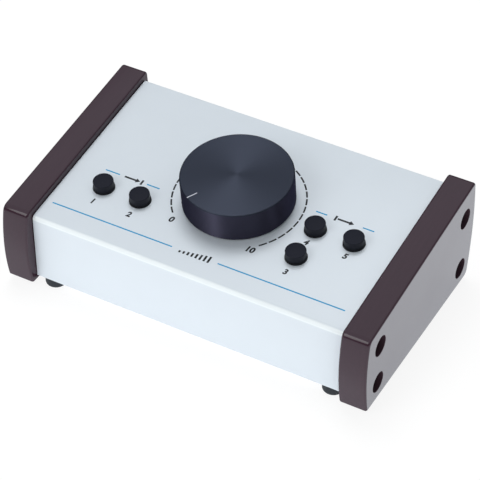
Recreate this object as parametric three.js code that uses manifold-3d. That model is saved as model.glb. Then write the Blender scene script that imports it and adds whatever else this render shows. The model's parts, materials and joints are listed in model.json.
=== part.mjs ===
// Desktop studio monitor controller: a sloped sheet-metal box between two dark side cheeks, with one
// large volume knob, five round push buttons and eight jack sockets at the back.
// Lengths are millimetres. X runs across the object, Y from front to back and Z up. The origin is on
// the surface that the feet stand on, under the middle of the object.

import * as THREE from 'three';
import { mergeVertices } from 'three/addons/utils/BufferGeometryUtils.js';
import Module from 'manifold-3d';

const wasm = await Module();
wasm.setup();

// Clearances that every piece uses
const clearance = 0.3;
const cutOverrun = 1;

// How finely curves are cut into flat faces
const knobSides = 56;
const roundSides = 20;
const smallSides = 12;
const arcSteps = 3;
const bulgeSteps = 10;

// Side cheeks
const overallWidth = 170.8;
const cheekThickness = 12.4;
const cheekLength = 95;
const cheekFrontHeight = 38.2;
const cheekFrontBulge = 2.1;
const cheekRearBulge = 2.2;
const cheekRearLean = 2;
const cheekEdgeRound = 1;
const cheekFrontTopRadius = 3.6;
const cheekRearTopRadius = 2;
const cheekRearBottomRadius = 3.2;
const cheekFrontBottomRadius = 1.6;
const panelSlope = THREE.MathUtils.degToRad(6.67);

// Sheet-metal box between the cheeks
const sheet = 1.5;
const bendRadius = 2.1;
const cheekProud = 3.2;
const frontFaceInset = 3;
const rearFaceInset = 0.92;
const boxRise = 2.5;
const trayFlangeHeight = 13.5;
const flangeGap = 1.5;

// Rubber feet
const footDrop = 2.3;
const footDiameter = 9.3;
const footInsetAcross = 6.5;
const footInsetFront = 4.9;
const footInsetRear = 7;
const footEdgeRound = 1.3;
const footStemDiameter = 4;
const footBarbDiameter = 5.4;
const footBarbHeight = 2.6;

// Screws that hold the cheeks
const screwDiameter = 3;
const screwHeadDiameter = 5.6;
const screwHeadHeight = 2.6;
const screwHeadRound = 0.7;
const screwSocketWidth = 2.5;
const screwSocketDepth = 1.4;
const screwReach = 4;
const counterboreDiameter = 9;
const counterboreDepth = 7.4;
const lowerScrewRise = 9.1;
const lowerFrontInset = 9.4;
const lowerRearInset = 8;
const upperFrontDrop = 10.9;
const upperFrontInset = 10;
const upperRearDrop = 13.1;
const upperRearInset = 6.6;

// Volume knob
const knobDiameter = 47.8;
const knobHeight = 14;
const knobGap = 0.5;
const knobUpShare = 0.5044;
const knobEdgeRound = 0.7;
const knobWall = 3.4;
const knobTopWall = 4;
const knobHubDiameter = 13;
const pointerLength = 4.9;
const pointerWidth = 0.8;
const pointerDepth = 0.25;
const pointerEdgeGap = 0.45;
const pointerAngle = THREE.MathUtils.degToRad(-120);

// Four-gang potentiometer
const shaftDiameter = 6;
const shaftFlat = 1.5;
const shaftCover = 2.3;
const bushDiameter = 9;
const bushRise = 5;
const potWidth = 20;
const potLength = 22;
const potDepth = 24;
const potWall = 1.5;
const rotorDiameter = 15;
const rotorThickness = 1.6;
const potNutWidth = 12;
const potNutHeight = 2;
const washerDiameter = 14;
const washerThickness = 0.6;

// Push buttons
const capDiameter = 8.6;
const capRise = 4.4;
const capSkirt = 2.4;
const capEdgeRound = 0.7;
const capCrown = 0.3;
const capClearance = 0.23;
const buttonTravel = 2.2;
const collarRise = 1;
const collarWall = 0.25;
const collarFlangeDiameter = 12.4;
const collarFlangeThickness = 1;
const innerButtonShare = 0.2627;
const outerButtonShare = 0.6236;
const frontRowBelowKnob = 18.75;
const rearRowBelowKnob = 1.9;
const switchWidth = 10;
const switchHeight = 8.6;
const switchWall = 0.9;
const stemWidth = 3.2;
const stemSocketDepth = 2;
const stemFootWidth = 5.2;
const stemFootThickness = 0.9;
const stemPinDiameter = 2;
const stemPinLength = 2.6;
const springWire = 0.5;
const springDiameter = 3.4;
const springTurns = 4;
const springStepsPerTurn = 8;
const springWireSides = 5;

// Circuit boards and the ribbon between them
const boardThickness = 1.6;
const controlBoardMargin = 8;
const controlBoardRearGap = 3;
const jackBoardStandoff = 3;
const jackBoardFrontStrip = 8;
const jackBoardSideGap = 6;
const ribbonWidth = 20;
const ribbonThickness = 0.9;
const ribbonAcrossShare = 0.55;
const ribbonEdgeInset = 3;
const ribbonSlack = 9;
const ribbonBowShares = [0.33, 0.67];
const ribbonSteps = 14;

// Stacked pairs of jack sockets
const jackBore = 6.35;
const jackNoseDiameter = 9.5;
const jackNoseReach = 3.5;
const jackBlockWidth = 15;
const jackBlockDepth = 24;
const jackBoreDepth = 22;
const jackHeadroom = 1.2;
const jackPitchShare = 0.53;
const jackNutWidth = 12.7;
const jackNutThickness = 2.4;
const innerJackShare = 0.37;
const outerJackShare = 0.926;

// Sizes and places that follow from the ones above
const slopeRise = Math.tan(panelSlope);
const innerHalfWidth = overallWidth / 2 - cheekThickness;
const boxHalfWidth = innerHalfWidth - clearance;
const rearFace = cheekLength - rearFaceInset;
const panelLength = (rearFace - frontFaceInset) / Math.cos(panelSlope);
const cheekStep = cheekProud / Math.cos(panelSlope);
const panelCornerHeight = cheekFrontHeight + frontFaceInset * slopeRise - cheekStep;
const boxFloor = boxRise + sheet;
const frontInside = frontFaceInset + sheet;
const rearInside = rearFace - sheet;
const leanReach = cheekRearLean / 2 + (cheekRearLean * cheekRearLean) / (16 * cheekRearBulge);
const middleDepth = (cheekLength + cheekRearBulge + leanReach - cheekFrontBulge) / 2;
const knobRadius = knobDiameter / 2;
const besideKnob = innerHalfWidth - knobRadius;
const innerButtonAcross = knobRadius + besideKnob * innerButtonShare;
const outerButtonAcross = knobRadius + besideKnob * outerButtonShare;
const knobUp = panelLength * knobUpShare;
const frontRowUp = knobUp - frontRowBelowKnob;
const rearRowUp = knobUp - rearRowBelowKnob;
const knobTop = knobGap + knobHeight;
const shaftRise = knobTop - shaftCover;
const screwShank = cheekThickness - counterboreDepth + clearance + sheet + screwReach;
const screwTipAcross = overallWidth / 2 - counterboreDepth + clearance - screwShank;
const collarDiameter = capDiameter + 2 * (capClearance + collarWall);
const switchTop = -(sheet + clearance + collarFlangeThickness + clearance + buttonTravel);
const switchBottom = switchTop - switchHeight;
const boardTop = switchBottom - clearance;
const boardBottom = boardTop - boardThickness;
const jackFront = rearInside - clearance - jackBlockDepth;
const boardFront = frontRowUp - controlBoardMargin;
const boardRoom = jackFront - controlBoardRearGap - frontFaceInset;
const boardRear = (boardRoom + boardBottom * Math.sin(panelSlope)) / Math.cos(panelSlope);
const jackBoardBottom = boxFloor + jackBoardStandoff;
const jackBoardTop = jackBoardBottom + boardThickness;
const jackBoardFront = jackFront - jackBoardFrontStrip;
const jackBoardHalf = screwTipAcross - jackBoardSideGap;
const jackRoom = jackBoardHalf - jackBlockWidth / 2;
const innerJackAcross = jackRoom * innerJackShare;
const outerJackAcross = jackRoom * outerJackShare;
const jackBlockBottom = jackBoardTop + clearance;
const jackBlockTop = ceilingAt(jackFront) - jackHeadroom;
const jackBlockHeight = jackBlockTop - jackBlockBottom;
const jackPitch = jackBlockHeight * jackPitchShare;

// Height of the cheek's top edge over a depth, above the cheek's own bottom
function cheekTopAt(depth) {
  return cheekFrontHeight + depth * slopeRise;
}

// Height of the sloped panel's underside over a depth, above the cheek's own bottom
function ceilingAt(depth) {
  const outside = panelCornerHeight + (depth - frontFaceInset) * slopeRise;
  return outside - sheet / Math.cos(panelSlope);
}

const cheekScrews = [
  { name: 'lower_front', depth: lowerFrontInset, rise: lowerScrewRise },
  { name: 'lower_rear', depth: cheekLength - lowerRearInset, rise: lowerScrewRise },
  { name: 'upper_front', depth: upperFrontInset, rise: cheekTopAt(upperFrontInset) - upperFrontDrop },
  {
    name: 'upper_rear',
    depth: cheekLength - upperRearInset,
    rise: cheekTopAt(cheekLength - upperRearInset) - upperRearDrop,
  },
];

const buttons = [
  { name: 'input_select', across: -outerButtonAcross, up: frontRowUp },
  { name: 'mute', across: -innerButtonAcross, up: frontRowUp },
  { name: 'mono', across: innerButtonAcross, up: frontRowUp },
  { name: 'output_a', across: innerButtonAcross, up: rearRowUp },
  { name: 'output_b', across: outerButtonAcross, up: rearRowUp },
];

const jackPairs = [
  { name: 'input_a', across: -outerJackAcross },
  { name: 'input_b', across: -innerJackAcross },
  { name: 'output_a', across: innerJackAcross },
  { name: 'output_b', across: outerJackAcross },
];

// Finishes
function finish(colour, roughness, metalness) {
  return new THREE.MeshStandardMaterial({ color: colour, roughness, metalness });
}

const finishes = {
  panel: finish(0xd3dbe2, 0.42, 0.55),
  cheek: finish(0x4a3a42, 0.35, 0),
  knob: finish(0x3c3e48, 0.4, 0.6),
  button: finish(0x26282e, 0.55, 0),
  rubber: finish(0x2d343a, 0.8, 0),
  steel: finish(0x8c9094, 0.35, 0.9),
  blackSteel: finish(0x2a2a2c, 0.4, 0.7),
  brass: finish(0xb9a36a, 0.35, 0.9),
  board: finish(0x1e5a3c, 0.6, 0),
  housing: finish(0x1c1d20, 0.6, 0),
  ribbon: finish(0xa8a8a4, 0.7, 0),
};

// Turns a closed geometry into a solid that can be joined and cut
function solidOf(source) {
  const plain = source.clone();
  plain.deleteAttribute('normal');
  plain.deleteAttribute('uv');
  const merged = mergeVertices(plain);
  const index = merged.index.array;
  const kept = [];
  for (let i = 0; i < index.length; i += 3) {
    const [a, b, c] = [index[i], index[i + 1], index[i + 2]];
    if (a !== b && b !== c && c !== a) kept.push(a, b, c);
  }
  const places = new Float32Array(merged.attributes.position.array);
  if (signedVolume(places, kept) < 0) kept.reverse();
  const mesh = new wasm.Mesh({ numProp: 3, vertProperties: places, triVerts: new Uint32Array(kept) });
  return new wasm.Manifold(mesh);
}

// Six times the volume inside a closed mesh, negative when its faces point inwards
function signedVolume(places, index) {
  const [a, b, c] = [new THREE.Vector3(), new THREE.Vector3(), new THREE.Vector3()];
  let total = 0;
  for (let i = 0; i < index.length; i += 3) {
    a.fromArray(places, index[i] * 3);
    b.fromArray(places, index[i + 1] * 3);
    c.fromArray(places, index[i + 2] * 3);
    total += a.dot(b.cross(c));
  }
  return total;
}

function geometryOf(solid) {
  const mesh = solid.getMesh();
  const geometry = new THREE.BufferGeometry();
  geometry.setAttribute('position', new THREE.BufferAttribute(new Float32Array(mesh.vertProperties), 3));
  geometry.setIndex(new THREE.BufferAttribute(new Uint32Array(mesh.triVerts), 1));
  geometry.computeVertexNormals();
  return geometry;
}

function joined(...solids) {
  return solids.reduce((whole, next) => whole.add(next));
}

function cutBy(solid, ...tools) {
  return tools.reduce((whole, tool) => whole.subtract(tool), solid);
}

function pieceOf(name, solid, material) {
  const mesh = new THREE.Mesh(geometryOf(solid), material);
  mesh.name = name;
  return mesh;
}

// Box between two corners
function block(low, high) {
  const size = high.map((value, axis) => value - low[axis]);
  const geometry = new THREE.BoxGeometry(...size);
  geometry.translate(...low.map((value, axis) => value + size[axis] / 2));
  return solidOf(geometry);
}

// Solid turned about the Z axis from a closed outline of [radius, height] points
function turned(outline, sides) {
  const points = outline.map(([radius, height]) => new THREE.Vector2(radius, height));
  const geometry = new THREE.LatheGeometry([...points, points[0].clone()], sides);
  geometry.rotateX(Math.PI / 2);
  return solidOf(geometry);
}

// Plain rod on the Z axis between two heights
function rod(diameter, low, high, sides = roundSides) {
  const geometry = new THREE.CylinderGeometry(diameter / 2, diameter / 2, high - low, sides);
  geometry.rotateX(Math.PI / 2);
  geometry.translate(0, 0, (low + high) / 2);
  return solidOf(geometry);
}

// Hexagonal bar on the Z axis, two of its flats facing up and down the Y axis
function hexBar(width, low, high) {
  const across = width / Math.cos(Math.PI / 6);
  const geometry = new THREE.CylinderGeometry(across / 2, across / 2, high - low, 6);
  geometry.rotateX(Math.PI / 2);
  geometry.rotateZ(Math.PI / 6);
  geometry.translate(0, 0, (low + high) / 2);
  return solidOf(geometry);
}

function moved(solid, x, y, z) {
  return solid.translate([x, y, z]);
}

// Points of a quarter round that leaves one side of a corner and lands on the other
function roundCorner(before, corner, after, radius) {
  const inward = new THREE.Vector2().subVectors(before, corner).normalize();
  const outward = new THREE.Vector2().subVectors(after, corner).normalize();
  const half = Math.acos(THREE.MathUtils.clamp(inward.dot(outward), -1, 1)) / 2;
  const back = radius / Math.tan(half);
  const middle = new THREE.Vector2().addVectors(inward, outward).normalize();
  const centre = corner.clone().addScaledVector(middle, radius / Math.sin(half));
  const from = corner.clone().addScaledVector(inward, back).sub(centre);
  const to = corner.clone().addScaledVector(outward, back).sub(centre);
  const sweep = Math.atan2(from.cross(to), from.dot(to));
  const points = [];
  for (let step = 0; step <= arcSteps; step += 1) {
    const spoke = from.clone().rotateAround(new THREE.Vector2(), (sweep * step) / arcSteps);
    points.push(centre.clone().add(spoke));
  }
  return points;
}

// Sheet bent at one corner: the outer line runs start, corner, end and the wall lies on its left
function bentSheet(start, corner, end, radius, thickness) {
  const first = new THREE.Vector2().subVectors(corner, start).normalize();
  const second = new THREE.Vector2().subVectors(end, corner).normalize();
  const leftOf = (way) => new THREE.Vector2(-way.y, way.x);
  const turn = Math.atan2(first.cross(second), first.dot(second));
  const mitre = thickness * Math.tan(turn / 2);
  const innerStart = start.clone().addScaledVector(leftOf(first), thickness);
  const innerEnd = end.clone().addScaledVector(leftOf(second), thickness);
  const innerCorner = corner.clone().addScaledVector(leftOf(first), thickness);
  innerCorner.addScaledVector(first, -mitre);
  return [
    start,
    ...roundCorner(start, corner, end, radius),
    end,
    innerEnd,
    ...roundCorner(innerEnd, innerCorner, innerStart, radius - thickness),
    innerStart,
  ];
}

// Solid whose outline lies in the Y-Z plane and which runs along X between two places
function alongX(outline, from, to) {
  const shape = new THREE.Shape(outline);
  const geometry = new THREE.ExtrudeGeometry(shape, { depth: to - from, bevelEnabled: false });
  geometry.applyMatrix4(new THREE.Matrix4().makeBasis(
    new THREE.Vector3(0, 1, 0),
    new THREE.Vector3(0, 0, 1),
    new THREE.Vector3(1, 0, 0),
  ));
  geometry.translate(from, 0, 0);
  return solidOf(geometry);
}

// A solid made on the Z axis, laid along X at a depth and height, its top facing the given side
function layAcross(solid, side, x, depth, height) {
  return solid.rotate([0, side * 90, 0]).translate([x, depth, height]);
}

// Places of the panel's own solids in the frame of the box: sloped and lifted to the panel's corner
function ontoPanel(solid) {
  const degrees = THREE.MathUtils.radToDeg(panelSlope);
  return solid.rotate([degrees, 0, 0]).translate([0, frontFaceInset, panelCornerHeight]);
}

// Side view of a cheek: straight top and bottom, front and rear edges that swell gently outwards
function cheekOutline() {
  const frontBottom = new THREE.Vector2(0, 0);
  const rearBottom = new THREE.Vector2(cheekLength, 0);
  const rearTopDepth = cheekLength + cheekRearLean;
  const rearTop = new THREE.Vector2(rearTopDepth, cheekTopAt(rearTopDepth));
  const frontTop = new THREE.Vector2(0, cheekFrontHeight);
  const swell = (low, high, bulge) => {
    const way = new THREE.Vector2().subVectors(high, low);
    const outward = new THREE.Vector2(way.y, -way.x).normalize();
    const points = [];
    for (let step = 0; step <= bulgeSteps; step += 1) {
      const share = step / bulgeSteps;
      const rise = bulge * (1 - (2 * share - 1) ** 2);
      points.push(low.clone().addScaledVector(way, share).addScaledVector(outward, rise));
    }
    return points;
  };
  const rear = swell(rearBottom, rearTop, cheekRearBulge);
  const front = swell(frontTop, frontBottom, cheekFrontBulge);
  const inner = (points) => points.slice(1, -1);
  return [
    ...roundCorner(front.at(-2), frontBottom, rearBottom, cheekFrontBottomRadius),
    ...roundCorner(frontBottom, rearBottom, rear.at(1), cheekRearBottomRadius),
    ...inner(rear),
    ...roundCorner(rear.at(-2), rearTop, frontTop, cheekRearTopRadius),
    ...roundCorner(rearTop, frontTop, front.at(1), cheekFrontTopRadius),
    ...inner(front),
  ];
}

function makeCheek(name, side) {
  const geometry = new THREE.ExtrudeGeometry(new THREE.Shape(cheekOutline()), {
    depth: cheekThickness - 2 * cheekEdgeRound,
    bevelThickness: cheekEdgeRound,
    bevelSize: cheekEdgeRound,
    bevelOffset: -cheekEdgeRound,
    bevelSegments: 2,
  });
  geometry.translate(0, 0, cheekEdgeRound - cheekThickness);
  geometry.applyMatrix4(new THREE.Matrix4().makeBasis(
    new THREE.Vector3(0, 1, 0),
    new THREE.Vector3(0, 0, 1),
    new THREE.Vector3(1, 0, 0),
  ));
  const outerFace = overallWidth / 2;
  const board = side > 0
    ? solidOf(geometry).translate([outerFace, 0, 0])
    : solidOf(geometry).translate([cheekThickness - outerFace, 0, 0]);
  const bores = cheekScrews.map(({ depth, rise }) => {
    const wide = rod(counterboreDiameter, -counterboreDepth, cutOverrun);
    const throughDepth = cheekThickness + cutOverrun;
    const narrow = rod(screwDiameter + 2 * clearance, -throughDepth, cutOverrun, smallSides);
    return layAcross(joined(wide, narrow), side, side * outerFace, depth, rise);
  });
  return pieceOf(name, cutBy(board, ...bores), finishes.cheek);
}

// Screw with its head on top and a six-sided socket in the head; the shank runs down the Z axis
function makeCheekScrew(name, side, { depth, rise }) {
  const headBottom = clearance;
  const headTop = headBottom + screwHeadHeight;
  const outline = [
    [0, headBottom - screwShank],
    [screwDiameter / 2, headBottom - screwShank],
    [screwDiameter / 2, headBottom],
    [screwHeadDiameter / 2, headBottom],
    [screwHeadDiameter / 2, headTop - screwHeadRound],
    [screwHeadDiameter / 2 - screwHeadRound, headTop],
    [0, headTop],
  ];
  const socket = hexBar(screwSocketWidth, headTop - screwSocketDepth, headTop + cutOverrun);
  const screw = cutBy(turned(outline, smallSides), socket);
  const seat = side * (overallWidth / 2 - counterboreDepth);
  return pieceOf(name, layAcross(screw, side, seat, depth, rise), finishes.blackSteel);
}

// Holes that let the cheek screws into the end flanges of one half of the box
function flangeHoles(row) {
  const wanted = cheekScrews.filter(({ name }) => name.startsWith(row));
  const holeDiameter = screwDiameter + 2 * clearance;
  return wanted.map(({ depth, rise }) => {
    const through = rod(holeDiameter, -innerHalfWidth, innerHalfWidth, smallSides);
    return layAcross(through, 1, 0, depth, rise);
  });
}

// Front and sloped top in one bent sheet, with a flange folded down at each end
function makeTopCover() {
  const rearHeight = panelCornerHeight + (rearFace - frontFaceInset) * slopeRise;
  const start = new THREE.Vector2(rearFace, rearHeight);
  const corner = new THREE.Vector2(frontFaceInset, panelCornerHeight);
  const end = new THREE.Vector2(frontFaceInset, boxRise);
  const skin = alongX(bentSheet(start, corner, end, bendRadius, sheet), -boxHalfWidth, boxHalfWidth);
  const flangeFront = frontInside + clearance;
  const flangeRear = rearInside - clearance;
  const flangeHeight = ceilingAt(flangeFront) - boxFloor - trayFlangeHeight - flangeGap;
  const halfSheet = sheet / 2;
  const flange = [
    new THREE.Vector2(flangeFront, ceilingAt(flangeFront) + halfSheet),
    new THREE.Vector2(flangeFront, ceilingAt(flangeFront) - flangeHeight),
    new THREE.Vector2(flangeRear, ceilingAt(flangeRear) - flangeHeight),
    new THREE.Vector2(flangeRear, ceilingAt(flangeRear) + halfSheet),
  ];
  const ends = [
    alongX(flange, -boxHalfWidth, sheet - boxHalfWidth),
    alongX(flange, boxHalfWidth - sheet, boxHalfWidth),
  ];
  const throughPanel = (diameter) => rod(diameter + 2 * clearance, -sheet - cutOverrun, cutOverrun);
  const shaftHole = moved(throughPanel(bushDiameter), 0, knobUp, 0);
  const buttonHoles = buttons.map(({ across, up }) => (
    moved(throughPanel(collarDiameter), across, up, 0)
  ));
  const panelHoles = [shaftHole, ...buttonHoles].map(ontoPanel);
  const cover = cutBy(joined(skin, ...ends), ...panelHoles, ...flangeHoles('upper'));
  return pieceOf('top_cover', cover, finishes.panel);
}

const jackRows = [
  { name: 'lower', height: jackBlockBottom + (jackBlockHeight - jackPitch) / 2 },
  { name: 'upper', height: jackBlockBottom + (jackBlockHeight + jackPitch) / 2 },
];

const footAcross = innerHalfWidth - footInsetAcross;
const frontFootDepth = frontFaceInset + footInsetFront;
const rearFootDepth = rearFace - footInsetRear;
const feet = [
  { name: 'foot_front_left', across: -footAcross, depth: frontFootDepth },
  { name: 'foot_front_right', across: footAcross, depth: frontFootDepth },
  { name: 'foot_rear_left', across: -footAcross, depth: rearFootDepth },
  { name: 'foot_rear_right', across: footAcross, depth: rearFootDepth },
];

// A solid made on the Z axis, turned so that its top points backwards
function faceBack(solid, across, depth, height) {
  return solid.rotate([-90, 0, 0]).translate([across, depth, height]);
}

// Bottom and rear wall in one bent sheet, with a flange folded up at each end
function makeBaseTray() {
  const start = new THREE.Vector2(frontInside + clearance, boxRise);
  const corner = new THREE.Vector2(rearFace, boxRise);
  const end = new THREE.Vector2(rearFace, ceilingAt(rearInside) - clearance);
  const skin = alongX(bentSheet(start, corner, end, bendRadius, sheet), -boxHalfWidth, boxHalfWidth);
  const halfSheet = sheet / 2;
  const endFlange = (low, high) => block(
    [low, frontInside + clearance, boxRise + halfSheet],
    [high, rearInside + halfSheet, boxFloor + trayFlangeHeight],
  );
  const ends = [
    endFlange(-boxHalfWidth, sheet - boxHalfWidth),
    endFlange(boxHalfWidth - sheet, boxHalfWidth),
  ];
  const footHoles = feet.map(({ across, depth }) => (
    moved(rod(footStemDiameter + 2 * clearance, 0, boxFloor + cutOverrun, smallSides), across, depth, 0)
  ));
  const jackHoles = jackPairs.flatMap(({ across }) => jackRows.map(({ height }) => {
    const hole = rod(jackNoseDiameter + 2 * clearance, -sheet - cutOverrun, cutOverrun);
    return faceBack(hole, across, rearFace, height);
  }));
  const tray = cutBy(joined(skin, ...ends), ...footHoles, ...jackHoles, ...flangeHoles('lower'));
  return pieceOf('base_tray', tray, finishes.panel);
}

// Rubber foot pushed into the tray: head below, stem through the sheet, barb inside
function makeFoot({ name, across, depth }) {
  const radius = footDiameter / 2;
  const headTop = boxRise - clearance;
  const barbBottom = boxFloor + clearance;
  const quarter = roundCorner(
    new THREE.Vector2(0, -footDrop),
    new THREE.Vector2(radius, -footDrop),
    new THREE.Vector2(radius, headTop),
    footEdgeRound,
  );
  const outline = [
    [0, -footDrop],
    ...quarter.map((point) => [point.x, point.y]),
    [radius, headTop],
    [footStemDiameter / 2, headTop],
    [footStemDiameter / 2, barbBottom],
    [footBarbDiameter / 2, barbBottom],
    [footStemDiameter / 4, barbBottom + footBarbHeight],
    [0, barbBottom + footBarbHeight],
  ];
  return pieceOf(name, moved(turned(outline, roundSides), across, depth, 0), finishes.rubber);
}

// Round bar with a flat ground along one side
function flattedBar(diameter, flat, low, high) {
  const bar = rod(diameter, low, high);
  const reach = diameter;
  const side = block(
    [diameter / 2 - flat, -reach, low - cutOverrun],
    [reach, reach, high + cutOverrun],
  );
  return cutBy(bar, side);
}

// Knob turned hollow from below, with a hub for the shaft and a shallow pointer groove in its face
function makeKnob() {
  const ceiling = knobTop - knobTopWall;
  const hubBottom = bushRise + 2 * clearance;
  const edge = roundCorner(
    new THREE.Vector2(knobRadius, knobGap),
    new THREE.Vector2(knobRadius, knobTop),
    new THREE.Vector2(0, knobTop),
    knobEdgeRound,
  );
  const outline = [
    [knobRadius - knobWall, knobGap],
    [knobRadius, knobGap],
    ...edge.map((point) => [point.x, point.y]),
    [0, knobTop],
    [0, hubBottom],
    [knobHubDiameter / 2, hubBottom],
    [knobHubDiameter / 2, ceiling],
    [knobRadius - knobWall, ceiling],
  ];
  const bore = flattedBar(
    shaftDiameter + 2 * clearance,
    shaftFlat,
    hubBottom - cutOverrun,
    shaftRise + clearance,
  );
  const pointerEnd = knobRadius - pointerEdgeGap;
  const groove = block(
    [pointerEnd - pointerLength, -pointerWidth / 2, knobTop - pointerDepth],
    [pointerEnd, pointerWidth / 2, knobTop + cutOverrun],
  );
  let knob = cutBy(turned(outline, knobSides), bore, groove);
  knob = knob.rotate([0, 0, THREE.MathUtils.radToDeg(pointerAngle)]);
  return pieceOf('volume_knob', knob, finishes.knob);
}

const potTop = -sheet - clearance;
const potCavityTop = potTop - potWall;
const rotorTop = potCavityTop - clearance;

// Turning shaft with its flat at the top and the wiper disc inside the housing
function makeShaft() {
  const tipFlat = flattedBar(shaftDiameter, shaftFlat, bushRise, shaftRise);
  const lower = rod(shaftDiameter, rotorTop - rotorThickness, bushRise + clearance);
  const disc = rod(rotorDiameter, rotorTop - rotorThickness, rotorTop);
  const shaft = joined(tipFlat, lower, disc).rotate([0, 0, THREE.MathUtils.radToDeg(pointerAngle)]);
  return pieceOf('pot_shaft', shaft, finishes.steel);
}

// Stacked resistor housing with the threaded bush that the shaft turns in
function makePotBody() {
  const low = potTop - potDepth;
  const housing = block(
    [-potWidth / 2, -potLength / 2, low],
    [potWidth / 2, potLength / 2, potTop],
  );
  const bush = rod(bushDiameter, potTop - potWall / 2, bushRise);
  const roomBottom = rotorTop - rotorThickness - clearance;
  const room = rod(rotorDiameter + 2 * clearance, roomBottom, potCavityTop);
  const bore = rod(shaftDiameter + 2 * clearance, rotorTop, bushRise + cutOverrun);
  return pieceOf('pot_body', cutBy(joined(housing, bush), room, bore), finishes.steel);
}

function makePotNut() {
  const washer = rod(washerDiameter, clearance, clearance + washerThickness);
  const nut = hexBar(potNutWidth, clearance, clearance + washerThickness + potNutHeight);
  const hole = rod(bushDiameter + 2 * clearance, -cutOverrun, bushRise + cutOverrun);
  return pieceOf('pot_nut', cutBy(joined(washer, nut), hole), finishes.steel);
}

// Board under the panel, notched round the pot and carried only by its soldered parts
function makeControlBoard() {
  const half = outerButtonAcross + controlBoardMargin;
  const plate = block([-half, boardFront, boardBottom], [half, boardRear, boardTop]);
  const notch = block(
    [-potWidth / 2 - clearance, knobUp - potLength / 2 - clearance, boardBottom - cutOverrun],
    [potWidth / 2 + clearance, boardRear + cutOverrun, boardTop + cutOverrun],
  );
  return pieceOf('control_board', cutBy(plate, notch), finishes.board);
}

// Cap: a short round post with a crowned, round-edged face and a square socket below for the stem
function makeCap(name) {
  const radius = capDiameter / 2;
  const edgeTop = capRise - capCrown;
  const edge = roundCorner(
    new THREE.Vector2(radius, 0),
    new THREE.Vector2(radius, edgeTop),
    new THREE.Vector2(0, capRise),
    capEdgeRound,
  );
  const outline = [
    [0, -capSkirt],
    [radius, -capSkirt],
    ...edge.map((point) => [point.x, point.y]),
    [0, capRise],
  ];
  const half = stemWidth / 2 + clearance;
  const socket = block(
    [-half, -half, -capSkirt - cutOverrun],
    [half, half, stemSocketDepth - capSkirt],
  );
  return pieceOf(name, cutBy(turned(outline, roundSides), socket), finishes.button);
}

// Collar that guides the cap: its tube stands up through the panel, its flange stays under the sheet
function makeCollar(name) {
  const bore = capDiameter / 2 + capClearance;
  const flangeTop = -sheet - clearance;
  const outline = [
    [bore, switchTop + clearance],
    [bore, collarRise],
    [collarDiameter / 2, collarRise],
    [collarDiameter / 2, flangeTop],
    [collarFlangeDiameter / 2, flangeTop],
    [collarFlangeDiameter / 2, flangeTop - collarFlangeThickness],
    [collarDiameter / 2, flangeTop - collarFlangeThickness],
    [collarDiameter / 2, switchTop + clearance],
  ];
  return pieceOf(name, turned(outline, roundSides), finishes.button);
}

const stemFootTop = switchTop - switchWall - clearance;
const springTop = stemFootTop - stemFootThickness - clearance;
const springBottom = switchBottom + switchWall + clearance;

// Stem that carries the cap down into the switch, with a foot that stops it under the roof
function makePlunger(name) {
  const half = stemWidth / 2;
  const foot = stemFootWidth / 2;
  const footBottom = stemFootTop - stemFootThickness;
  const stemTop = stemSocketDepth - capSkirt - clearance;
  const stem = block([-half, -half, stemFootTop - stemFootThickness / 2], [half, half, stemTop]);
  const plate = block([-foot, -foot, footBottom], [foot, foot, stemFootTop]);
  const pinBottom = footBottom - stemPinLength;
  const pin = rod(stemPinDiameter, pinBottom, footBottom + stemFootThickness / 2, smallSides);
  return pieceOf(name, joined(stem, plate, pin), finishes.housing);
}

// Helix that the return spring's wire follows
class SpringCurve extends THREE.Curve {
  getPoint(share, target = new THREE.Vector3()) {
    const turn = share * springTurns * 2 * Math.PI;
    const radius = springDiameter / 2;
    const low = springBottom + springWire / 2;
    const high = springTop - springWire / 2;
    return target.set(radius * Math.cos(turn), radius * Math.sin(turn), low + (high - low) * share);
  }
}

function makeSpring(name) {
  const section = new THREE.Shape();
  for (let side = 0; side < springWireSides; side += 1) {
    const angle = (side / springWireSides) * 2 * Math.PI;
    const x = (springWire / 2) * Math.cos(angle);
    const y = (springWire / 2) * Math.sin(angle);
    if (side === 0) section.moveTo(x, y);
    else section.lineTo(x, y);
  }
  section.closePath();
  const geometry = new THREE.ExtrudeGeometry(section, {
    steps: springTurns * springStepsPerTurn,
    extrudePath: new SpringCurve(),
  });
  return pieceOf(name, solidOf(geometry), finishes.steel);
}

// Hollow switch housing with a square opening in its roof for the stem
function makeSwitchBody(name) {
  const half = switchWidth / 2;
  const inside = half - switchWall;
  const opening = stemWidth / 2 + clearance;
  const shell = block([-half, -half, switchBottom], [half, half, switchTop]);
  const room = block(
    [-inside, -inside, switchBottom + switchWall],
    [inside, inside, switchTop - switchWall],
  );
  const way = block(
    [-opening, -opening, switchTop - 2 * switchWall],
    [opening, opening, switchTop + cutOverrun],
  );
  return pieceOf(name, cutBy(shell, room, way), finishes.housing);
}

function makeButton({ name, across, up }) {
  const group = new THREE.Group();
  group.position.set(across, up, 0);
  group.add(
    makeCap(`${name}_cap`),
    makeCollar(`${name}_collar`),
    makePlunger(`${name}_plunger`),
    makeSpring(`${name}_spring`),
    makeSwitchBody(`${name}_switch`),
  );
  return group;
}

function makeJackBoard() {
  const low = [-jackBoardHalf, jackBoardFront, jackBoardBottom];
  const high = [jackBoardHalf, rearInside - clearance, jackBoardTop];
  return pieceOf('jack_board', block(low, high), finishes.board);
}

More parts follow.
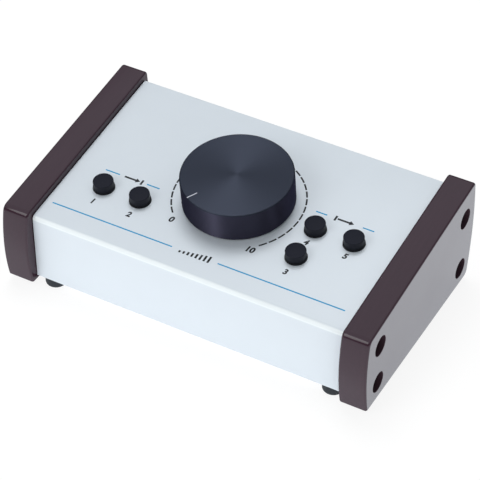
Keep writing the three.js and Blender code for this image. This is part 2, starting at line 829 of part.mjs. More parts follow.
// Block with two sockets, one over the other; each bore is open through its threaded nose
function makeJackPair({ name, across }) {
  const back = rearInside - clearance;
  const body = block(
    [across - jackBlockWidth / 2, jackFront, jackBlockBottom],
    [across + jackBlockWidth / 2, back, jackBlockTop],
  );
  const tip = rearFace + jackNoseReach;
  const noses = jackRows.map(({ height }) => (
    faceBack(rod(jackNoseDiameter, back - sheet - tip, 0), across, tip, height)
  ));
  const bores = jackRows.map(({ height }) => (
    faceBack(rod(jackBore, -jackBoreDepth, cutOverrun), across, tip, height)
  ));
  return pieceOf(`${name}_jacks`, cutBy(joined(body, ...noses), ...bores), finishes.housing);
}

function makeJackNut(name, across, height) {
  const nut = hexBar(jackNutWidth, clearance, clearance + jackNutThickness);
  const hole = rod(jackNoseDiameter + 2 * clearance, 0, jackNutThickness + cutOverrun);
  return pieceOf(name, faceBack(cutBy(nut, hole), across, rearFace, height), finishes.steel);
}

// Flat cable that leaves the control board's underside, bows forwards and lands on the jack board
function makeRibbon() {
  const cosine = Math.cos(panelSlope);
  const sine = Math.sin(panelSlope);
  const start = boardRear - ribbonEdgeInset;
  const drop = boardBottom - clearance;
  const top = new THREE.Vector2(
    frontFaceInset + start * cosine - drop * sine,
    panelCornerHeight + start * sine + drop * cosine,
  );
  const bottom = new THREE.Vector2(jackBoardFront + ribbonEdgeInset, jackBoardTop + clearance);
  const bow = Math.min(top.x, bottom.x) - ribbonSlack;
  const heightAt = (share) => THREE.MathUtils.lerp(top.y, bottom.y, share);
  const bowPoints = ribbonBowShares.map((share) => new THREE.Vector2(bow, heightAt(share)));
  const path = new THREE.CubicBezierCurve(top, ...bowPoints, bottom);
  const half = ribbonThickness / 2;
  const ribbonAcross = outerButtonAcross * ribbonAcrossShare;
  const rightSide = [];
  const leftSide = [];
  for (let step = 0; step <= ribbonSteps; step += 1) {
    const share = step / ribbonSteps;
    const place = path.getPoint(share);
    rightSide.push(new THREE.Vector2(place.x + half, place.y));
    leftSide.unshift(new THREE.Vector2(place.x - half, place.y));
  }
  const outline = [...rightSide, ...leftSide];
  const solid = alongX(outline, ribbonAcross - ribbonWidth / 2, ribbonAcross + ribbonWidth / 2);
  return pieceOf('ribbon_cable', solid, finishes.ribbon);
}

// Pieces that stand on the sloped panel or hang under it, in the panel's own frame
const panel = new THREE.Group();
panel.position.set(0, frontFaceInset, panelCornerHeight);
panel.rotation.x = panelSlope;

const volume = new THREE.Group();
volume.position.set(0, knobUp, 0);
volume.add(makeKnob(), makeShaft(), makePotBody(), makePotNut());
panel.add(volume, makeControlBoard(), ...buttons.map(makeButton));

// Pieces in the frame of the box: depth from the cheeks' front corner, height from their bottom
const object = new THREE.Group();
object.position.set(0, -middleDepth, footDrop);
object.add(
  panel,
  makeTopCover(),
  makeBaseTray(),
  makeCheek('left_cheek', -1),
  makeCheek('right_cheek', 1),
  makeJackBoard(),
  makeRibbon(),
  ...feet.map(makeFoot),
  ...jackPairs.map(makeJackPair),
);
for (const [sideName, side] of [['left', -1], ['right', 1]]) {
  for (const screw of cheekScrews) {
    object.add(makeCheekScrew(`${sideName}_screw_${screw.name}`, side, screw));
  }
}
for (const pair of jackPairs) {
  for (const row of jackRows) {
    object.add(makeJackNut(`${pair.name}_nut_${row.name}`, pair.across, row.height));
  }
}

export default object;
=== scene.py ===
"""Looks of a desktop studio monitor controller, built around its packed construction.

The object is a sloped sheet-metal box between two dark lacquered cheeks, with a spun volume knob, five push
buttons and eight jack sockets. Lengths are metres in the frame of the construction: X runs across the
object, Y from front to back and Z up.
"""

import json
import math

import bmesh
import bpy
import numpy as np
from mathutils import Matrix, Vector


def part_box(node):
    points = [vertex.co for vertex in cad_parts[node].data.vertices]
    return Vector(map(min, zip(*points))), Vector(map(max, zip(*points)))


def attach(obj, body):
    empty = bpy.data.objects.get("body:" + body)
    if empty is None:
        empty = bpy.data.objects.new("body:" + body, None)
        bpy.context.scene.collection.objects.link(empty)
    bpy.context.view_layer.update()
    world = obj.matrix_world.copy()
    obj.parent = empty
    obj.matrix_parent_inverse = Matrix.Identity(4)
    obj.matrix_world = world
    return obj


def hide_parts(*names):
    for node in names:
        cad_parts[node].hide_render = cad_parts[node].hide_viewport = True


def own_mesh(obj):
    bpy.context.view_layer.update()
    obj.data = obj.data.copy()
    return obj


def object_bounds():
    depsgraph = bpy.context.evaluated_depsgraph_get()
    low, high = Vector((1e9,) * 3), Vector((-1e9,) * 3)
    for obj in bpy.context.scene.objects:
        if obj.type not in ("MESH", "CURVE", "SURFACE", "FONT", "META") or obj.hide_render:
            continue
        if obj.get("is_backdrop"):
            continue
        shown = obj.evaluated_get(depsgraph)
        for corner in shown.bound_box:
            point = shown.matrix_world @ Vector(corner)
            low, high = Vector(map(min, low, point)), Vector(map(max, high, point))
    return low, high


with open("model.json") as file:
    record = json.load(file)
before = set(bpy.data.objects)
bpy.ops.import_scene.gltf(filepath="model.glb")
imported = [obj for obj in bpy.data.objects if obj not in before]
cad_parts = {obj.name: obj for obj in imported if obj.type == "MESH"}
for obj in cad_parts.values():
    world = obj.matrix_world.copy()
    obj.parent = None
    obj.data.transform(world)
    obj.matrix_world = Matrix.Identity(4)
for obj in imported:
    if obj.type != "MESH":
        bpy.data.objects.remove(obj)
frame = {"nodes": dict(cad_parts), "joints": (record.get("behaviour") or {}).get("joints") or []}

bl_info = {
    "name": "Studio monitor controller",
    "version": (1, 0, 0),
    "blender": (4, 5, 0),
    "location": "View3D > Sidebar > Controller",
    "description": "Builds the finished surfaces, printing and studio of a desktop monitor controller",
    "category": "Object",
}

CAD_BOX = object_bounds()


def mm(value):
    """Millimetres as metres."""
    return value * 0.001


def unit(ways):
    """Directions with their lengths made 1."""
    ways = np.asarray(ways, float)
    return ways / np.linalg.norm(ways, axis=-1, keepdims=True)


def left_of(ways):
    """Plane directions turned a quarter to the left."""
    return np.stack([-ways[..., 1], ways[..., 0]], axis=-1)


# Places read from the frame
BACK, UP, ACROSS = np.array([(0.0, 1.0, 0.0), (0.0, 0.0, 1.0), (1.0, 0.0, 0.0)])
TURN = next(joint for joint in frame["joints"] if joint["name"] == "volume_turn")
OUT = -unit(TURN["axis"])
UP_SLOPE = np.cross(OUT, ACROSS)
SLOPE = math.atan2(UP_SLOPE[2], UP_SLOPE[1])
KNOB_FOOT = np.array(TURN["pos_m"], float)
BUTTONS = ("input_select", "mute", "mono", "output_a", "output_b")
SOCKET_PAIRS = ("input_a", "input_b", "output_a", "output_b")
ROWS = ("lower", "upper")
SIDES = ("left", "right")
ENDS = ("front", "rear")
SCREWS = [f"{row}_{end}" for row in ROWS for end in ENDS]
FEET = [f"foot_{end}_{side}" for end in ENDS for side in SIDES]


def box_of(node):
    """Lowest and highest corner of a node of the construction."""
    return np.array(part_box(node), float)


def centre_of(node):
    low, high = box_of(node)
    return (low + high) / 2


def foot_on_panel(node):
    """The point of the panel's face that lies under the middle of a node, along the panel's normal."""
    middle = centre_of(node)
    return middle - OUT * ((middle - KNOB_FOOT) @ OUT)


COVER_LOW, COVER_HIGH = box_of("top_cover")
TRAY_LOW, TRAY_HIGH = box_of("base_tray")
CORNER_HEIGHT = COVER_HIGH[2] - (COVER_HIGH[1] - COVER_LOW[1]) * math.tan(SLOPE)
PANEL_CORNER = np.array([0.0, COVER_LOW[1], CORNER_HEIGHT])
KNOB_UP = (KNOB_FOOT - PANEL_CORNER) @ UP_SLOPE


# Properties

def group(kind, name, description):
    return bpy.props.PointerProperty(type=kind, name=name, description=description)


def ink_colour(red, green, blue):
    """A colour given in display values from 0 to 255, as the linear values that shaders take: the display's
    curve is a power of 2.4 with a straight foot."""
    shown = np.array([red, green, blue], float) / 255
    linear = np.where(shown <= 0.04045, shown / 12.92, ((shown + 0.055) / 1.055) ** 2.4)
    return tuple(linear.tolist())


def length(name, description, millimetres):
    return bpy.props.FloatProperty(
        name=name, description=description, default=mm(millimetres), unit="LENGTH", precision=5
    )


def lengths(name, description, *millimetres):
    return bpy.props.FloatVectorProperty(
        name=name, description=description, default=tuple(mm(value) for value in millimetres),
        size=len(millimetres), unit="LENGTH",
    )


def angle(name, description, degrees):
    return bpy.props.FloatProperty(
        name=name, description=description, default=math.radians(degrees), subtype="ANGLE"
    )


def share(name, description, default):
    return bpy.props.FloatProperty(name=name, description=description, default=default, min=0.0, max=1.0)


def level(name, description, default):
    return bpy.props.FloatProperty(name=name, description=description, default=default, min=0.0)


def count(name, description, default):
    return bpy.props.IntProperty(name=name, description=description, default=default, min=1)


def colour(name, description, red, green, blue):
    return bpy.props.FloatVectorProperty(
        name=name, description=description, default=ink_colour(red, green, blue),
        subtype="COLOR", size=3, min=0.0, max=1.0,
    )


class CaseSizes(bpy.types.PropertyGroup):
    """Sizes of the sheet-metal box."""

    sheet: length("Sheet", "Thickness of the folded sheet", 1.5)
    bend: length("Bend radius", "Outer radius of the folds", 2.1)
    edge: length("Edge break", "Rounding of the sheet's cut edges", 0.3)
    gap: length("Gap", "Clearance round the parts that pass through the sheet", 0.3)
    flange: length("Tray flange", "Height of the tray's end flanges above its floor", 13.5)
    flange_gap: length("Flange gap", "Gap between the end flanges of the two halves", 1.5)


class CheekSizes(bpy.types.PropertyGroup):
    """Sizes of the side cheeks and the screws sunk in them."""

    front_height: length("Front height", "Height of the front edge under the top", 38.2)
    depth: length("Depth", "Length along the bottom", 95.0)
    front_bulge: length("Front bulge", "How far the front edge swells", 2.1)
    rear_bulge: length("Rear bulge", "How far the rear edge swells", 2.2)
    rear_lean: length("Rear lean", "How far the rear edge leans back at the top", 2.0)
    front_top: length("Front top radius", "Corner radius in side view", 3.6)
    rear_top: length("Rear top radius", "Corner radius in side view", 2.0)
    rear_bottom: length("Rear bottom radius", "Corner radius in side view", 3.2)
    front_bottom: length("Front bottom radius", "Corner radius in side view", 1.6)
    edge: length("Edge rounding", "Rounding along the faces", 1.0)
    bore: length("Counterbore", "Diameter of the sunk screw holes", 9.0)
    bore_depth: length("Counterbore depth", "Depth of the sunk screw holes", 7.4)
    bore_edge: length("Bore edge", "Chamfer at the mouth of each hole", 0.15)
    through: length("Through hole", "Diameter of the hole for the shank", 3.6)
    shank: length("Screw shank", "Diameter of the screw's shank", 3.0)
    head: length("Screw head", "Diameter of the screw's head", 5.6)
    head_height: length("Head height", "Height of the screw's head", 2.6)
    head_round: length("Head rounding", "Rounding of the head's top edge", 0.7)
    socket: length("Hex socket", "Width across the flats of the socket in the head", 2.5)
    socket_depth: length("Socket depth", "Depth of the socket in the head", 1.4)


class KnobSizes(bpy.types.PropertyGroup):
    """Sizes of the volume knob."""

    diameter: length("Diameter", "Outer diameter", 47.8)
    height: length("Height", "Height of the knob itself", 14.0)
    gap: length("Gap", "Gap between the knob and the panel", 0.5)
    edge: length("Edge rounding", "Rounding of the top edge", 0.6)
    wall: length("Wall", "Thickness of the skirt", 3.4)
    top_wall: length("Top wall", "Thickness of the face", 4.0)
    hub: length("Hub", "Diameter of the hub", 13.0)
    hub_rise: length("Hub rise", "Height of the hub's underside above the panel", 5.6)
    bore: length("Bore", "Diameter of the shaft's hole", 6.6)
    bore_top: length("Bore top", "Height of the end of the shaft's hole above the panel", 12.5)
    pointer_length: length("Pointer length", "Length of the groove in the face", 4.9)
    pointer_width: length("Pointer width", "Width of the groove in the face", 0.5)
    pointer_depth: length("Pointer depth", "Depth of the groove in the face", 0.25)
    pointer_gap: length("Pointer gap", "Distance from the groove to the rim", 0.1)
    pointer_angle: angle("Pointer angle", "Direction of the pointer at rest", -120.0)


class ButtonSizes(bpy.types.PropertyGroup):
    """Sizes of the push buttons."""

    cap: length("Cap", "Diameter of a cap", 8.8)
    rise: length("Rise", "Height of a cap's crown above the panel", 4.4)
    skirt: length("Skirt", "Depth of a cap below the panel", 2.4)
    edge: length("Edge rounding", "Rounding of a cap's rim", 0.3)
    crown: length("Crown", "Height of the crown over the rim", 0.3)
    socket: length("Stem socket", "Diameter of the socket for the stem", 5.4)
    socket_depth: length("Socket depth", "Depth of the socket for the stem", 2.0)
    collar_gap: length("Collar gap", "Gap between a cap and its collar", 0.12)
    collar_wall: length("Collar wall", "Thickness of a collar's tube", 0.2)
    collar_rise: length("Collar rise", "Height of a collar above the panel", 1.0)
    collar_taper: length("Collar taper", "How much thinner a collar's wall is at its lip", 0.1)
    flange: length("Flange", "Diameter of a collar's flange under the sheet", 12.4)
    flange_thickness: length("Flange thickness", "Thickness of a collar's flange", 1.0)
    travel: length("Travel", "How far a button is pressed", 2.2)
    wire: length("Spring wire", "Diameter of the return spring's wire", 0.5)
    coil: length("Spring coil", "Diameter of the return spring along its wire", 3.4)
    turns: count("Spring turns", "Number of turns of the return spring", 4)


class SocketSizes(bpy.types.PropertyGroup):
    """Sizes of the jack sockets and their nuts."""

    bore: length("Bore", "Diameter of a socket's bore", 6.35)
    bore_depth: length("Bore depth", "Depth of a socket's bore", 22.0)
    nose: length("Nose", "Diameter of the threaded nose", 9.5)
    pitch: length("Thread pitch", "Pitch of the nose's thread", 0.8)
    thread: length("Thread depth", "Depth of the nose's thread", 0.25)
    nut: length("Nut", "Width of a nut across its flats", 12.7)
    nut_hole: length("Nut hole", "Diameter of a nut's hole", 10.1)
    nut_thickness: length("Nut thickness", "Thickness of a nut", 2.4)
    chamfer: length("Nut chamfer", "How far a nut's corners are turned down", 0.5)
    block_edge: length("Block edge", "Rounding of a socket block's edges", 0.6)


class FootSizes(bpy.types.PropertyGroup):
    """Sizes of the rubber feet."""

    edge: length("Edge rounding", "Rounding of a foot's lower edge", 1.3)
    head: length("Head height", "Height of the part below the tray", 4.5)
    stem: length("Stem", "Diameter of the stem through the tray", 4.0)
    barb: length("Barb", "Diameter of the barb inside the tray", 5.4)
    barb_height: length("Barb height", "Height of the barb inside the tray", 2.6)


class PrintSizes(bpy.types.PropertyGroup):
    """Sizes and places of the printing on the panel, across it and up its slope from the front corner."""

    film: length("Film", "Thickness of the ink", 0.03)
    line: length("Line width", "Width of the coloured lines", 0.6)
    front_line_up: length("Front line", "Place of the front line up the slope", 10.55)
    front_line_ends: lengths("Front line ends", "Ends of the two front lines", -69.4, -11.5, 9.9, 67.7)
    input_dash_up: length("Input dashes", "Place of the input dashes up the slope", 36.85)
    input_dash_ends: lengths("Input dash ends", "Ends of the two input dashes", -59.3, -52.4, -39.0, -32.9)
    output_dash_up: length("Output dashes", "Place of the output dashes up the slope", 53.8)
    output_dash_ends: lengths("Output dash ends", "Ends of the two output dashes", 32.2, 37.35, 53.7, 58.9)
    arc_radius: length("Scale radius", "Radius of the dashed scale round the knob", 28.25)
    arc_line: length("Scale line", "Width of the dashed scale", 0.72)
    arc_start: angle("Scale start", "Direction of the scale's upper end", -44.5)
    arc_sweep: angle("Scale sweep", "Angle that the scale covers", 266.6)
    arc_gap: angle("Scale gap", "Angle of the gap between two dashes", 1.7)
    dashes: count("Dashes", "Number of dashes in the scale", 30)
    figure_radius: length("Figure radius", "Distance of the scale's figures from the knob's axis", 29.6)
    figure_past: angle("Figure angle", "Angle from the scale's ends to its figures", 7.0)
    scale_figure: length("Scale figures", "Height of the figures at the scale's ends", 3.2)
    button_figure: length("Button figures", "Height of the figures by the buttons", 3.0)
    button_drop: length("Button figure drop", "Distance from a front button to its figure", 8.9)
    output_drop: length("Output figure drop", "Distance from an output button to its figure", 7.8)
    lean: share("Lean", "How far the figures lean for their height", 0.12)
    bar_width: length("Bar width", "Width of the black strokes", 0.9)
    bars: count("Bars", "Number of rising bars", 8)
    bar_pitch: length("Bar pitch", "Distance between the rising bars", 1.9)
    bar_low: length("Bar low", "Height of the shortest bar", 1.1)
    bar_height: length("Bar height", "Height of the tallest bar", 3.5)
    mark_rise: length("Mark rise", "How far the bars' middle stands above the front line", 0.3)
    arrow_length: length("Arrow length", "Length of an arrow and its bar", 8.4)
    arrow_head: length("Arrow head", "Length of an arrow's head", 2.0)
    arrow_gap: length("Arrow gap", "Gap between an arrow and its bar", 0.9)
    arrow_tall: length("Bar stroke", "Height of the bar by an arrow", 2.8)


class FinishColours(bpy.types.PropertyGroup):
    """Colours of the finishes."""

    panel: colour("Panel", "Satin silver of the box", 218, 226, 233)
    # Painted highlight: the lighter fold colour stands in for the light that the front bend catches
    fold: colour("Fold", "The sheet where its front fold is rubbed", 246, 253, 255)
    cheek: colour("Cheek", "Lacquer of the cheeks", 54, 32, 44)
    # Painted light: the knob is one anodised metal; its side and face colours are set apart to match how the
    # lamps light each
    knob: colour("Knob", "Anodised metal of the knob's side", 68, 67, 82)
    knob_face: colour("Knob face", "Anodised metal of the knob's turned face", 50, 54, 64)
    pointer: colour("Pointer", "Paint in the pointer's groove", 200, 202, 212)
    button: colour("Button", "Plastic of the caps", 26, 28, 38)
    collar: colour("Collar", "Plastic of the collars", 12, 14, 21)
    # Painted shade: the screw holes' insides get this matt colour of their own, which darkens the recesses
    bore: colour("Bore", "Stain inside the screw holes", 66, 46, 56)
    screw: colour("Screw", "Blackened steel of the screws", 34, 34, 39)
    rubber: colour("Rubber", "Rubber of the feet", 40, 46, 52)
    spring: colour("Spring", "Steel of the return springs", 170, 172, 176)
    plated: colour("Potentiometer", "Plated steel of the potentiometer", 158, 160, 164)
    housing: colour("Housing", "Plastic of the switches", 30, 31, 34)
    socket: colour("Socket", "Plastic of the jack sockets", 26, 26, 29)
    nut: colour("Nut", "Nickel of the sockets' nuts", 196, 198, 202)
    board: colour("Board", "Green mask of the circuit boards", 22, 84, 54)
    board_shade: colour("Board shade", "Second green of the boards' mask", 18, 74, 48)
    track: colour("Track", "The mask over copper tracks", 44, 122, 78)
    ribbon: colour("Ribbon", "Insulation of the flat cable", 150, 150, 146)
    ribbon_edge: colour("Ribbon edge", "Marked edge wire of the flat cable", 150, 40, 36)
    blue_ink: colour("Blue ink", "Ink of the lines", 8, 154, 205)
    black_ink: colour("Black ink", "Ink of the scale and the marks", 20, 22, 28)


class StudioSettings(bpy.types.PropertyGroup):
    """Camera, lamps, world and floor."""

    lens: bpy.props.FloatProperty(
        name="Lens", description="Focal length in millimetres on a 36 mm sensor", default=161.2315
    )
    camera: lengths("Camera", "Place of the camera", 336.327, -595.950, 616.134)
    pitch: angle("Pitch", "Tilt of the camera above the horizon", -41.0167)
    yaw: angle("Yaw", "Turn of the camera to the left", 29.3772)
    roll: angle("Roll", "Turn of the camera about its own axis", -0.2490)
    sky: level("Sky", "Level of the light from all round", 0.40)
    wall: share("Wall", "How bright glossy surfaces see the walls", 0.15)
    ceiling: share("Ceiling", "How bright glossy surfaces see the ceiling", 0.85)
    floor_glow: share("Floor glow", "Level of the seen floor's own light", 0.88)
    floor_shade: share("Floor shade", "How much of the light on the seen floor it gives back", 0.16)
    floor_bounce: level("Floor bounce", "Light that the floor adds to the object from below", 0.95)
    key: level("Key", "Level of the overhead lamp", 0.46)
    key_azimuth: angle("Key azimuth", "Direction of the overhead lamp", 128.0)
    key_elevation: angle("Key elevation", "Height of the overhead lamp", 71.0)
    key_distance: length("Key distance", "Distance of the overhead lamp", 1500)
    key_size: length("Key size", "Diameter of the overhead lamp", 800)
    glint: level("Glint", "Level of the lamp that only the knob mirrors", 0.48)
    glint_azimuth: angle("Glint azimuth", "Direction of the knob's lamp", 150.0)
    glint_size: length("Glint size", "Diameter of the knob's and the panel's lamps", 500)
    stripe: level("Stripe", "Level of the lamp that draws the light stripe on the knob's side", 0.17)
    stripe_azimuth: angle("Stripe azimuth", "Direction of the lamp for the stripe", -104.0)
    stripe_elevation: angle("Stripe elevation", "Height of the lamp for the stripe", 20.0)
    stripe_size: length("Stripe size", "Diameter of the lamp for the stripe", 300)
    sheen: level("Sheen", "Level of the lamp that only the panel mirrors", 0.29)
    sheen_azimuth: angle("Sheen azimuth", "Direction of the panel's lamp", 92.0)
    sheen_elevation: angle("Sheen elevation", "Height of the panel's lamp", 65.0)
    box: level("Softbox", "Level of the softbox on the left", 0.17)
    box_azimuth: angle("Softbox azimuth", "Direction of the softbox on the left", -114.0)
    box_elevation: angle("Softbox elevation", "Height of the softbox on the left", 37.0)
    box_distance: length("Softbox distance", "Distance of the softbox on the left", 1300)
    box_size: length("Softbox size", "Diameter of the softbox on the left", 700)


class ControllerSettings(bpy.types.PropertyGroup):
    """All the sizes and colours of the controller."""

    case: group(CaseSizes, "Case", "Sizes of the box")
    cheeks: group(CheekSizes, "Cheeks", "Sizes of the cheeks")
    knob: group(KnobSizes, "Knob", "Sizes of the knob")
    buttons: group(ButtonSizes, "Buttons", "Sizes of the buttons")
    sockets: group(SocketSizes, "Sockets", "Sizes of the sockets")
    feet: group(FootSizes, "Feet", "Sizes of the feet")
    printing: group(PrintSizes, "Printing", "Sizes of the printing")
    colours: group(FinishColours, "Colours", "Colours of the finishes")
    studio: group(StudioSettings, "Studio", "Camera, lamps, world and floor")


# Surfaces

SMOOTH_ANGLE = math.radians(32)
KNOB_SIDES, ROUND_SIDES, BORE_SIDES, SCREW_SIDES, HOLE_SIDES = 256, 96, 64, 48, 32
CORNER_STEPS, RIM_STEPS, HEAD_STEPS, SMALL_STEPS, CUT_STEPS = 12, 10, 8, 5, 4
# How far a flat is kept beside an arc, and how far a cutting tool passes a face
SUPPORT, PAST = mm(0.25), mm(1)
# Small breaks of edges
EDGE_BREAK, LIP, FINE_BREAK = mm(0.3), mm(0.25), mm(0.2)
TINY, MERGE = 1e-9, 1e-7


def linked(name, data):
    """A new object in the scene."""
    made = bpy.data.objects.new(name, data)
    bpy.context.scene.collection.objects.link(made)
    return made


def add_piece(name, points, blocks):
    """A mesh object at the origin, from an array of points and blocks of faces. A block is an array of faces
    that have equally many corners, each a row of point numbers."""
    mesh = bpy.data.meshes.new(name)
    mesh.from_pydata(points.tolist(), [], [face for block in blocks for face in block.tolist()])
    mesh.validate()
    piece = linked(name, mesh)
    soften(piece)
    return piece


def soften(piece):
    """Smooth shading that stops at edges sharper than the smooth angle."""
    piece.data.shade_smooth()
    piece.data.set_sharp_from_angle(angle=SMOOTH_ANGLE)


def corner_arc(before, corner, after, radius, steps=CORNER_STEPS):
    """Points of the arc that rounds a corner: it touches both sides at radius / tan(half the corner's
    angle)."""
    before, corner, after = np.array([before, corner, after], float)
    first, second = unit(before - corner), unit(after - corner)
    half = math.acos(np.clip(first @ second, -1, 1)) / 2
    centre = corner + unit(first + second) * radius / math.sin(half)
    start, end = (corner + way * radius / math.tan(half) - centre for way in (first, second))
    sweep = math.atan2(start[0] * end[1] - start[1] * end[0], start @ end)
    turns = np.linspace(0, sweep, steps + 1)[:, None]
    return centre + np.cos(turns) * start + np.sin(turns) * left_of(start)


def prism(base, top):
    """A closed solid between two outlines of equally many points: side quads and two end faces. The base runs
    anticlockwise when seen from the top."""
    number = len(base)
    here = np.arange(number)
    there = np.roll(here, -1)
    sides = np.stack([here, there, there + number, here + number], axis=1)
    return np.concatenate([base, top]), [sides, here[None, ::-1], here[None] + number]


def extruded(outline, low, high):
    """A closed outline in the Y-Z plane, carried straight along X from low to high and capped at both
    ends."""
    outline = np.asarray(outline, float)
    y, z = outline.T
    if np.sum(y * np.roll(z, -1) - np.roll(y, -1) * z) < 0:
        outline = outline[::-1]
    return prism(*(np.insert(outline, 0, x, axis=1) for x in (low, high)))


def ringed(rows, closed=False):
    """Faces of a stack of rings. A ring whose points coincide becomes a pole. With closed, the last ring
    joins the first and the surface is a loop of its own."""
    points, rings, total = [], [], 0
    for row in rows:
        kept = row[:1] if np.ptp(row, axis=0).max() < TINY else row
        rings.append(total + np.arange(len(kept)))
        points.append(kept)
        total += len(kept)
    if closed:
        rings.append(rings[0])
    blocks = []
    for lower, upper in zip(rings, rings[1:]):
        corners = [lower, np.roll(lower, -1), np.roll(upper, -1), upper]
        if len(lower) == 1:
            corners = [lower.repeat(len(upper)), *corners[2:]]
        elif len(upper) == 1:
            corners = [*corners[:2], upper.repeat(len(lower))]
        blocks.append(np.stack(corners, axis=1))
    return np.concatenate(points), blocks


def full_turn(sides):
    return np.arange(sides) * 2 * math.pi / sides


def ring_points(radius, turn, height):
    """Points round the Z axis from radii, angles and heights that spread over each other."""
    return np.stack(np.broadcast_arrays(radius * np.cos(turn), radius * np.sin(turn), height), axis=-1)


def lathe_rows(outline, sides):
    """Rings of a turned shape: each outline point [radius, height] goes round the Z axis."""
    outline = np.asarray(outline, float)
    return ring_points(outline[:, :1], full_turn(sides), outline[:, 1:])


def turned(outline, sides=ROUND_SIDES):
    """A turned solid. The outline runs anticlockwise in the plane of radius and height, from the axis back to
    the axis, or round a closed loop when it doesn't touch the axis."""
    outline = np.asarray(outline, float)
    on_axis = outline[0, 0] < TINY and outline[-1, 0] < TINY
    return ringed(lathe_rows(outline, sides), closed=not on_axis)


def rod(radius, reach, sides):
    """A rod on the Z axis that reaches equally far up and down."""
    return turned([(0, -reach), (radius, -reach), (radius, reach), (0, reach)], sides)


def stand(shell, foot, axis, forward=BACK):
    """A shell made on the Z axis, stood on a foot point with Z along the axis and Y nearest to forward."""
    points, faces = shell
    axis = unit(axis)
    side = unit(np.cross(forward, axis))
    return np.asarray(foot) + points @ np.stack([side, np.cross(axis, side), axis]), faces


def spin(shell, turn):
    """A shell turned about the Z axis."""
    points, faces = shell
    cosine, sine = math.cos(turn), math.sin(turn)
    return points @ np.array([[cosine, sine, 0.0], [-sine, cosine, 0.0], [0.0, 0.0, 1.0]]), faces


def gathered(shells):
    """Several closed shells as one array of points and one list of blocks."""
    blocks, total = [], 0
    for points, shell_blocks in shells:
        blocks += [block + total for block in shell_blocks]
        total += len(points)
    return np.concatenate([points for points, _ in shells]), blocks


def final_mesh(made):
    """A new mesh of what an object shows once its modifiers or its text are worked out."""
    return bpy.data.meshes.new_from_object(made.evaluated_get(bpy.context.evaluated_depsgraph_get()))


def combined(piece, operation, *shells):
    """The piece after a boolean operation with closed shells, with the result kept as its mesh."""
    tool = add_piece(piece.name + "_tool", *gathered(shells))
    modifier = piece.modifiers.new("combine", "BOOLEAN")
    modifier.operation, modifier.solver, modifier.object = operation, "EXACT", tool
    result = final_mesh(piece)
    piece.modifiers.clear()
    piece.data = result
    bpy.data.objects.remove(tool)
    soften(piece)
    return piece


def straighten(piece):
    """Turns every face of a closed mesh outwards."""
    shape = bmesh.new()
    shape.from_mesh(piece.data)
    bmesh.ops.remove_doubles(shape, verts=shape.verts, dist=MERGE)
    bmesh.ops.recalc_face_normals(shape, faces=shape.faces)
    shape.to_mesh(piece.data)
    shape.free()
    soften(piece)


def finish_piece(piece, body, slot, material, *nodes):
    """Gives a piece its finish and body, and lets it stand for nodes of the construction. The slot is not
    used.
    """
    dress(piece.data, material)
    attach(piece, body)
    if nodes:
        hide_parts(*nodes)
    return piece


def dress(mesh, material):
    """Gives a mesh one material all over."""
    mesh.materials.clear()
    mesh.materials.append(material)


def face_middles(piece):
    """The middle of every face of a piece, one row each."""
    middles = np.zeros(len(piece.data.polygons) * 3)
    piece.data.polygons.foreach_get("center", middles)
    return middles.reshape(-1, 3)


def give_faces(piece, material, chosen):
    """Gives the chosen faces of a piece one more material and leaves the others as they are."""
    mesh = piece.data
    slots = np.zeros(len(mesh.polygons), dtype=np.int32)
    mesh.polygons.foreach_get("material_index", slots)
    slots[chosen] = len(mesh.materials)
    mesh.materials.append(material)
    mesh.polygons.foreach_set("material_index", slots)


# Shader nodes

def add_node(tree, kind, inputs=None, **traits):
    """A new shader node with its traits set and its inputs, by name or number, given values or links."""
    made = tree.nodes.new(f"ShaderNode{kind}")
    for trait, value in traits.items():
        setattr(made, trait, value)
    feed(tree, made, inputs or {})
    return made


def feed(tree, made, inputs):
    for name, value in inputs.items():
        give(tree, made.inputs[name], value)


def give(tree, socket, value):
    """Links an input to a socket, or sets it to a number, a vector or a colour."""
    if isinstance(value, bpy.types.NodeSocket):
        tree.links.new(value, socket)
    else:
        socket.default_value = (*value, 1.0) if socket.type == "RGBA" else value


def cleared_tree(owner):
    owner.use_nodes = True
    owner.node_tree.nodes.clear()
    return owner.node_tree


def maths(tree, operation, *operands):
    """Output of a Math node whose operands are numbers or sockets."""
    return add_node(tree, "Math", dict(enumerate(operands)), operation=operation).outputs[0]


def scaled(tree, value, times, plus):
    """A value times one number or socket plus another."""
    return maths(tree, "MULTIPLY_ADD", value, times, plus)


def vector_maths(tree, operation, *operands):
    """Output of a Vector Math node whose operands are vectors or sockets."""
    made = add_node(tree, "VectorMath", dict(enumerate(operands)), operation=operation)
    return made.outputs["Value" if operation in ("DOT_PRODUCT", "LENGTH") else "Vector"]


def map_range(tree, value, start, end, low, high, curve="SMOOTHSTEP"):
    """A value carried from the span between start and end to the one between low and high."""
    inputs = {"Value": value, "From Min": start, "From Max": end, "To Min": low, "To Max": high}
    return add_node(tree, "MapRange", inputs, interpolation_type=curve).outputs[0]


def noise(tree, vector, scale, detail, roughness=0.5):
    inputs = {"Vector": vector, "Scale": scale, "Detail": detail, "Roughness": roughness}
    return add_node(tree, "TexNoise", inputs).outputs["Fac"]


def blend_colours(tree, factor, first, second, blend="MIX"):
    """Two colours blended by a factor."""
    mix = add_node(tree, "Mix", {0: factor}, data_type="RGBA", blend_type=blend)
    for socket, value in zip((socket for socket in mix.inputs if socket.type == "RGBA"), (first, second)):
        give(tree, socket, value)
    return next(socket for socket in mix.outputs if socket.type == "RGBA")


def tint(tree, base, shade):
    """A colour times a shade that varies over the surface."""
    return blend_colours(tree, 1.0, base, shade, "MULTIPLY")


def bump(tree, height, distance, strength=1.0):
    """The normal of a surface raised by a height."""
    inputs = {"Height": height, "Distance": distance, "Strength": strength}
    return add_node(tree, "Bump", inputs).outputs["Normal"]


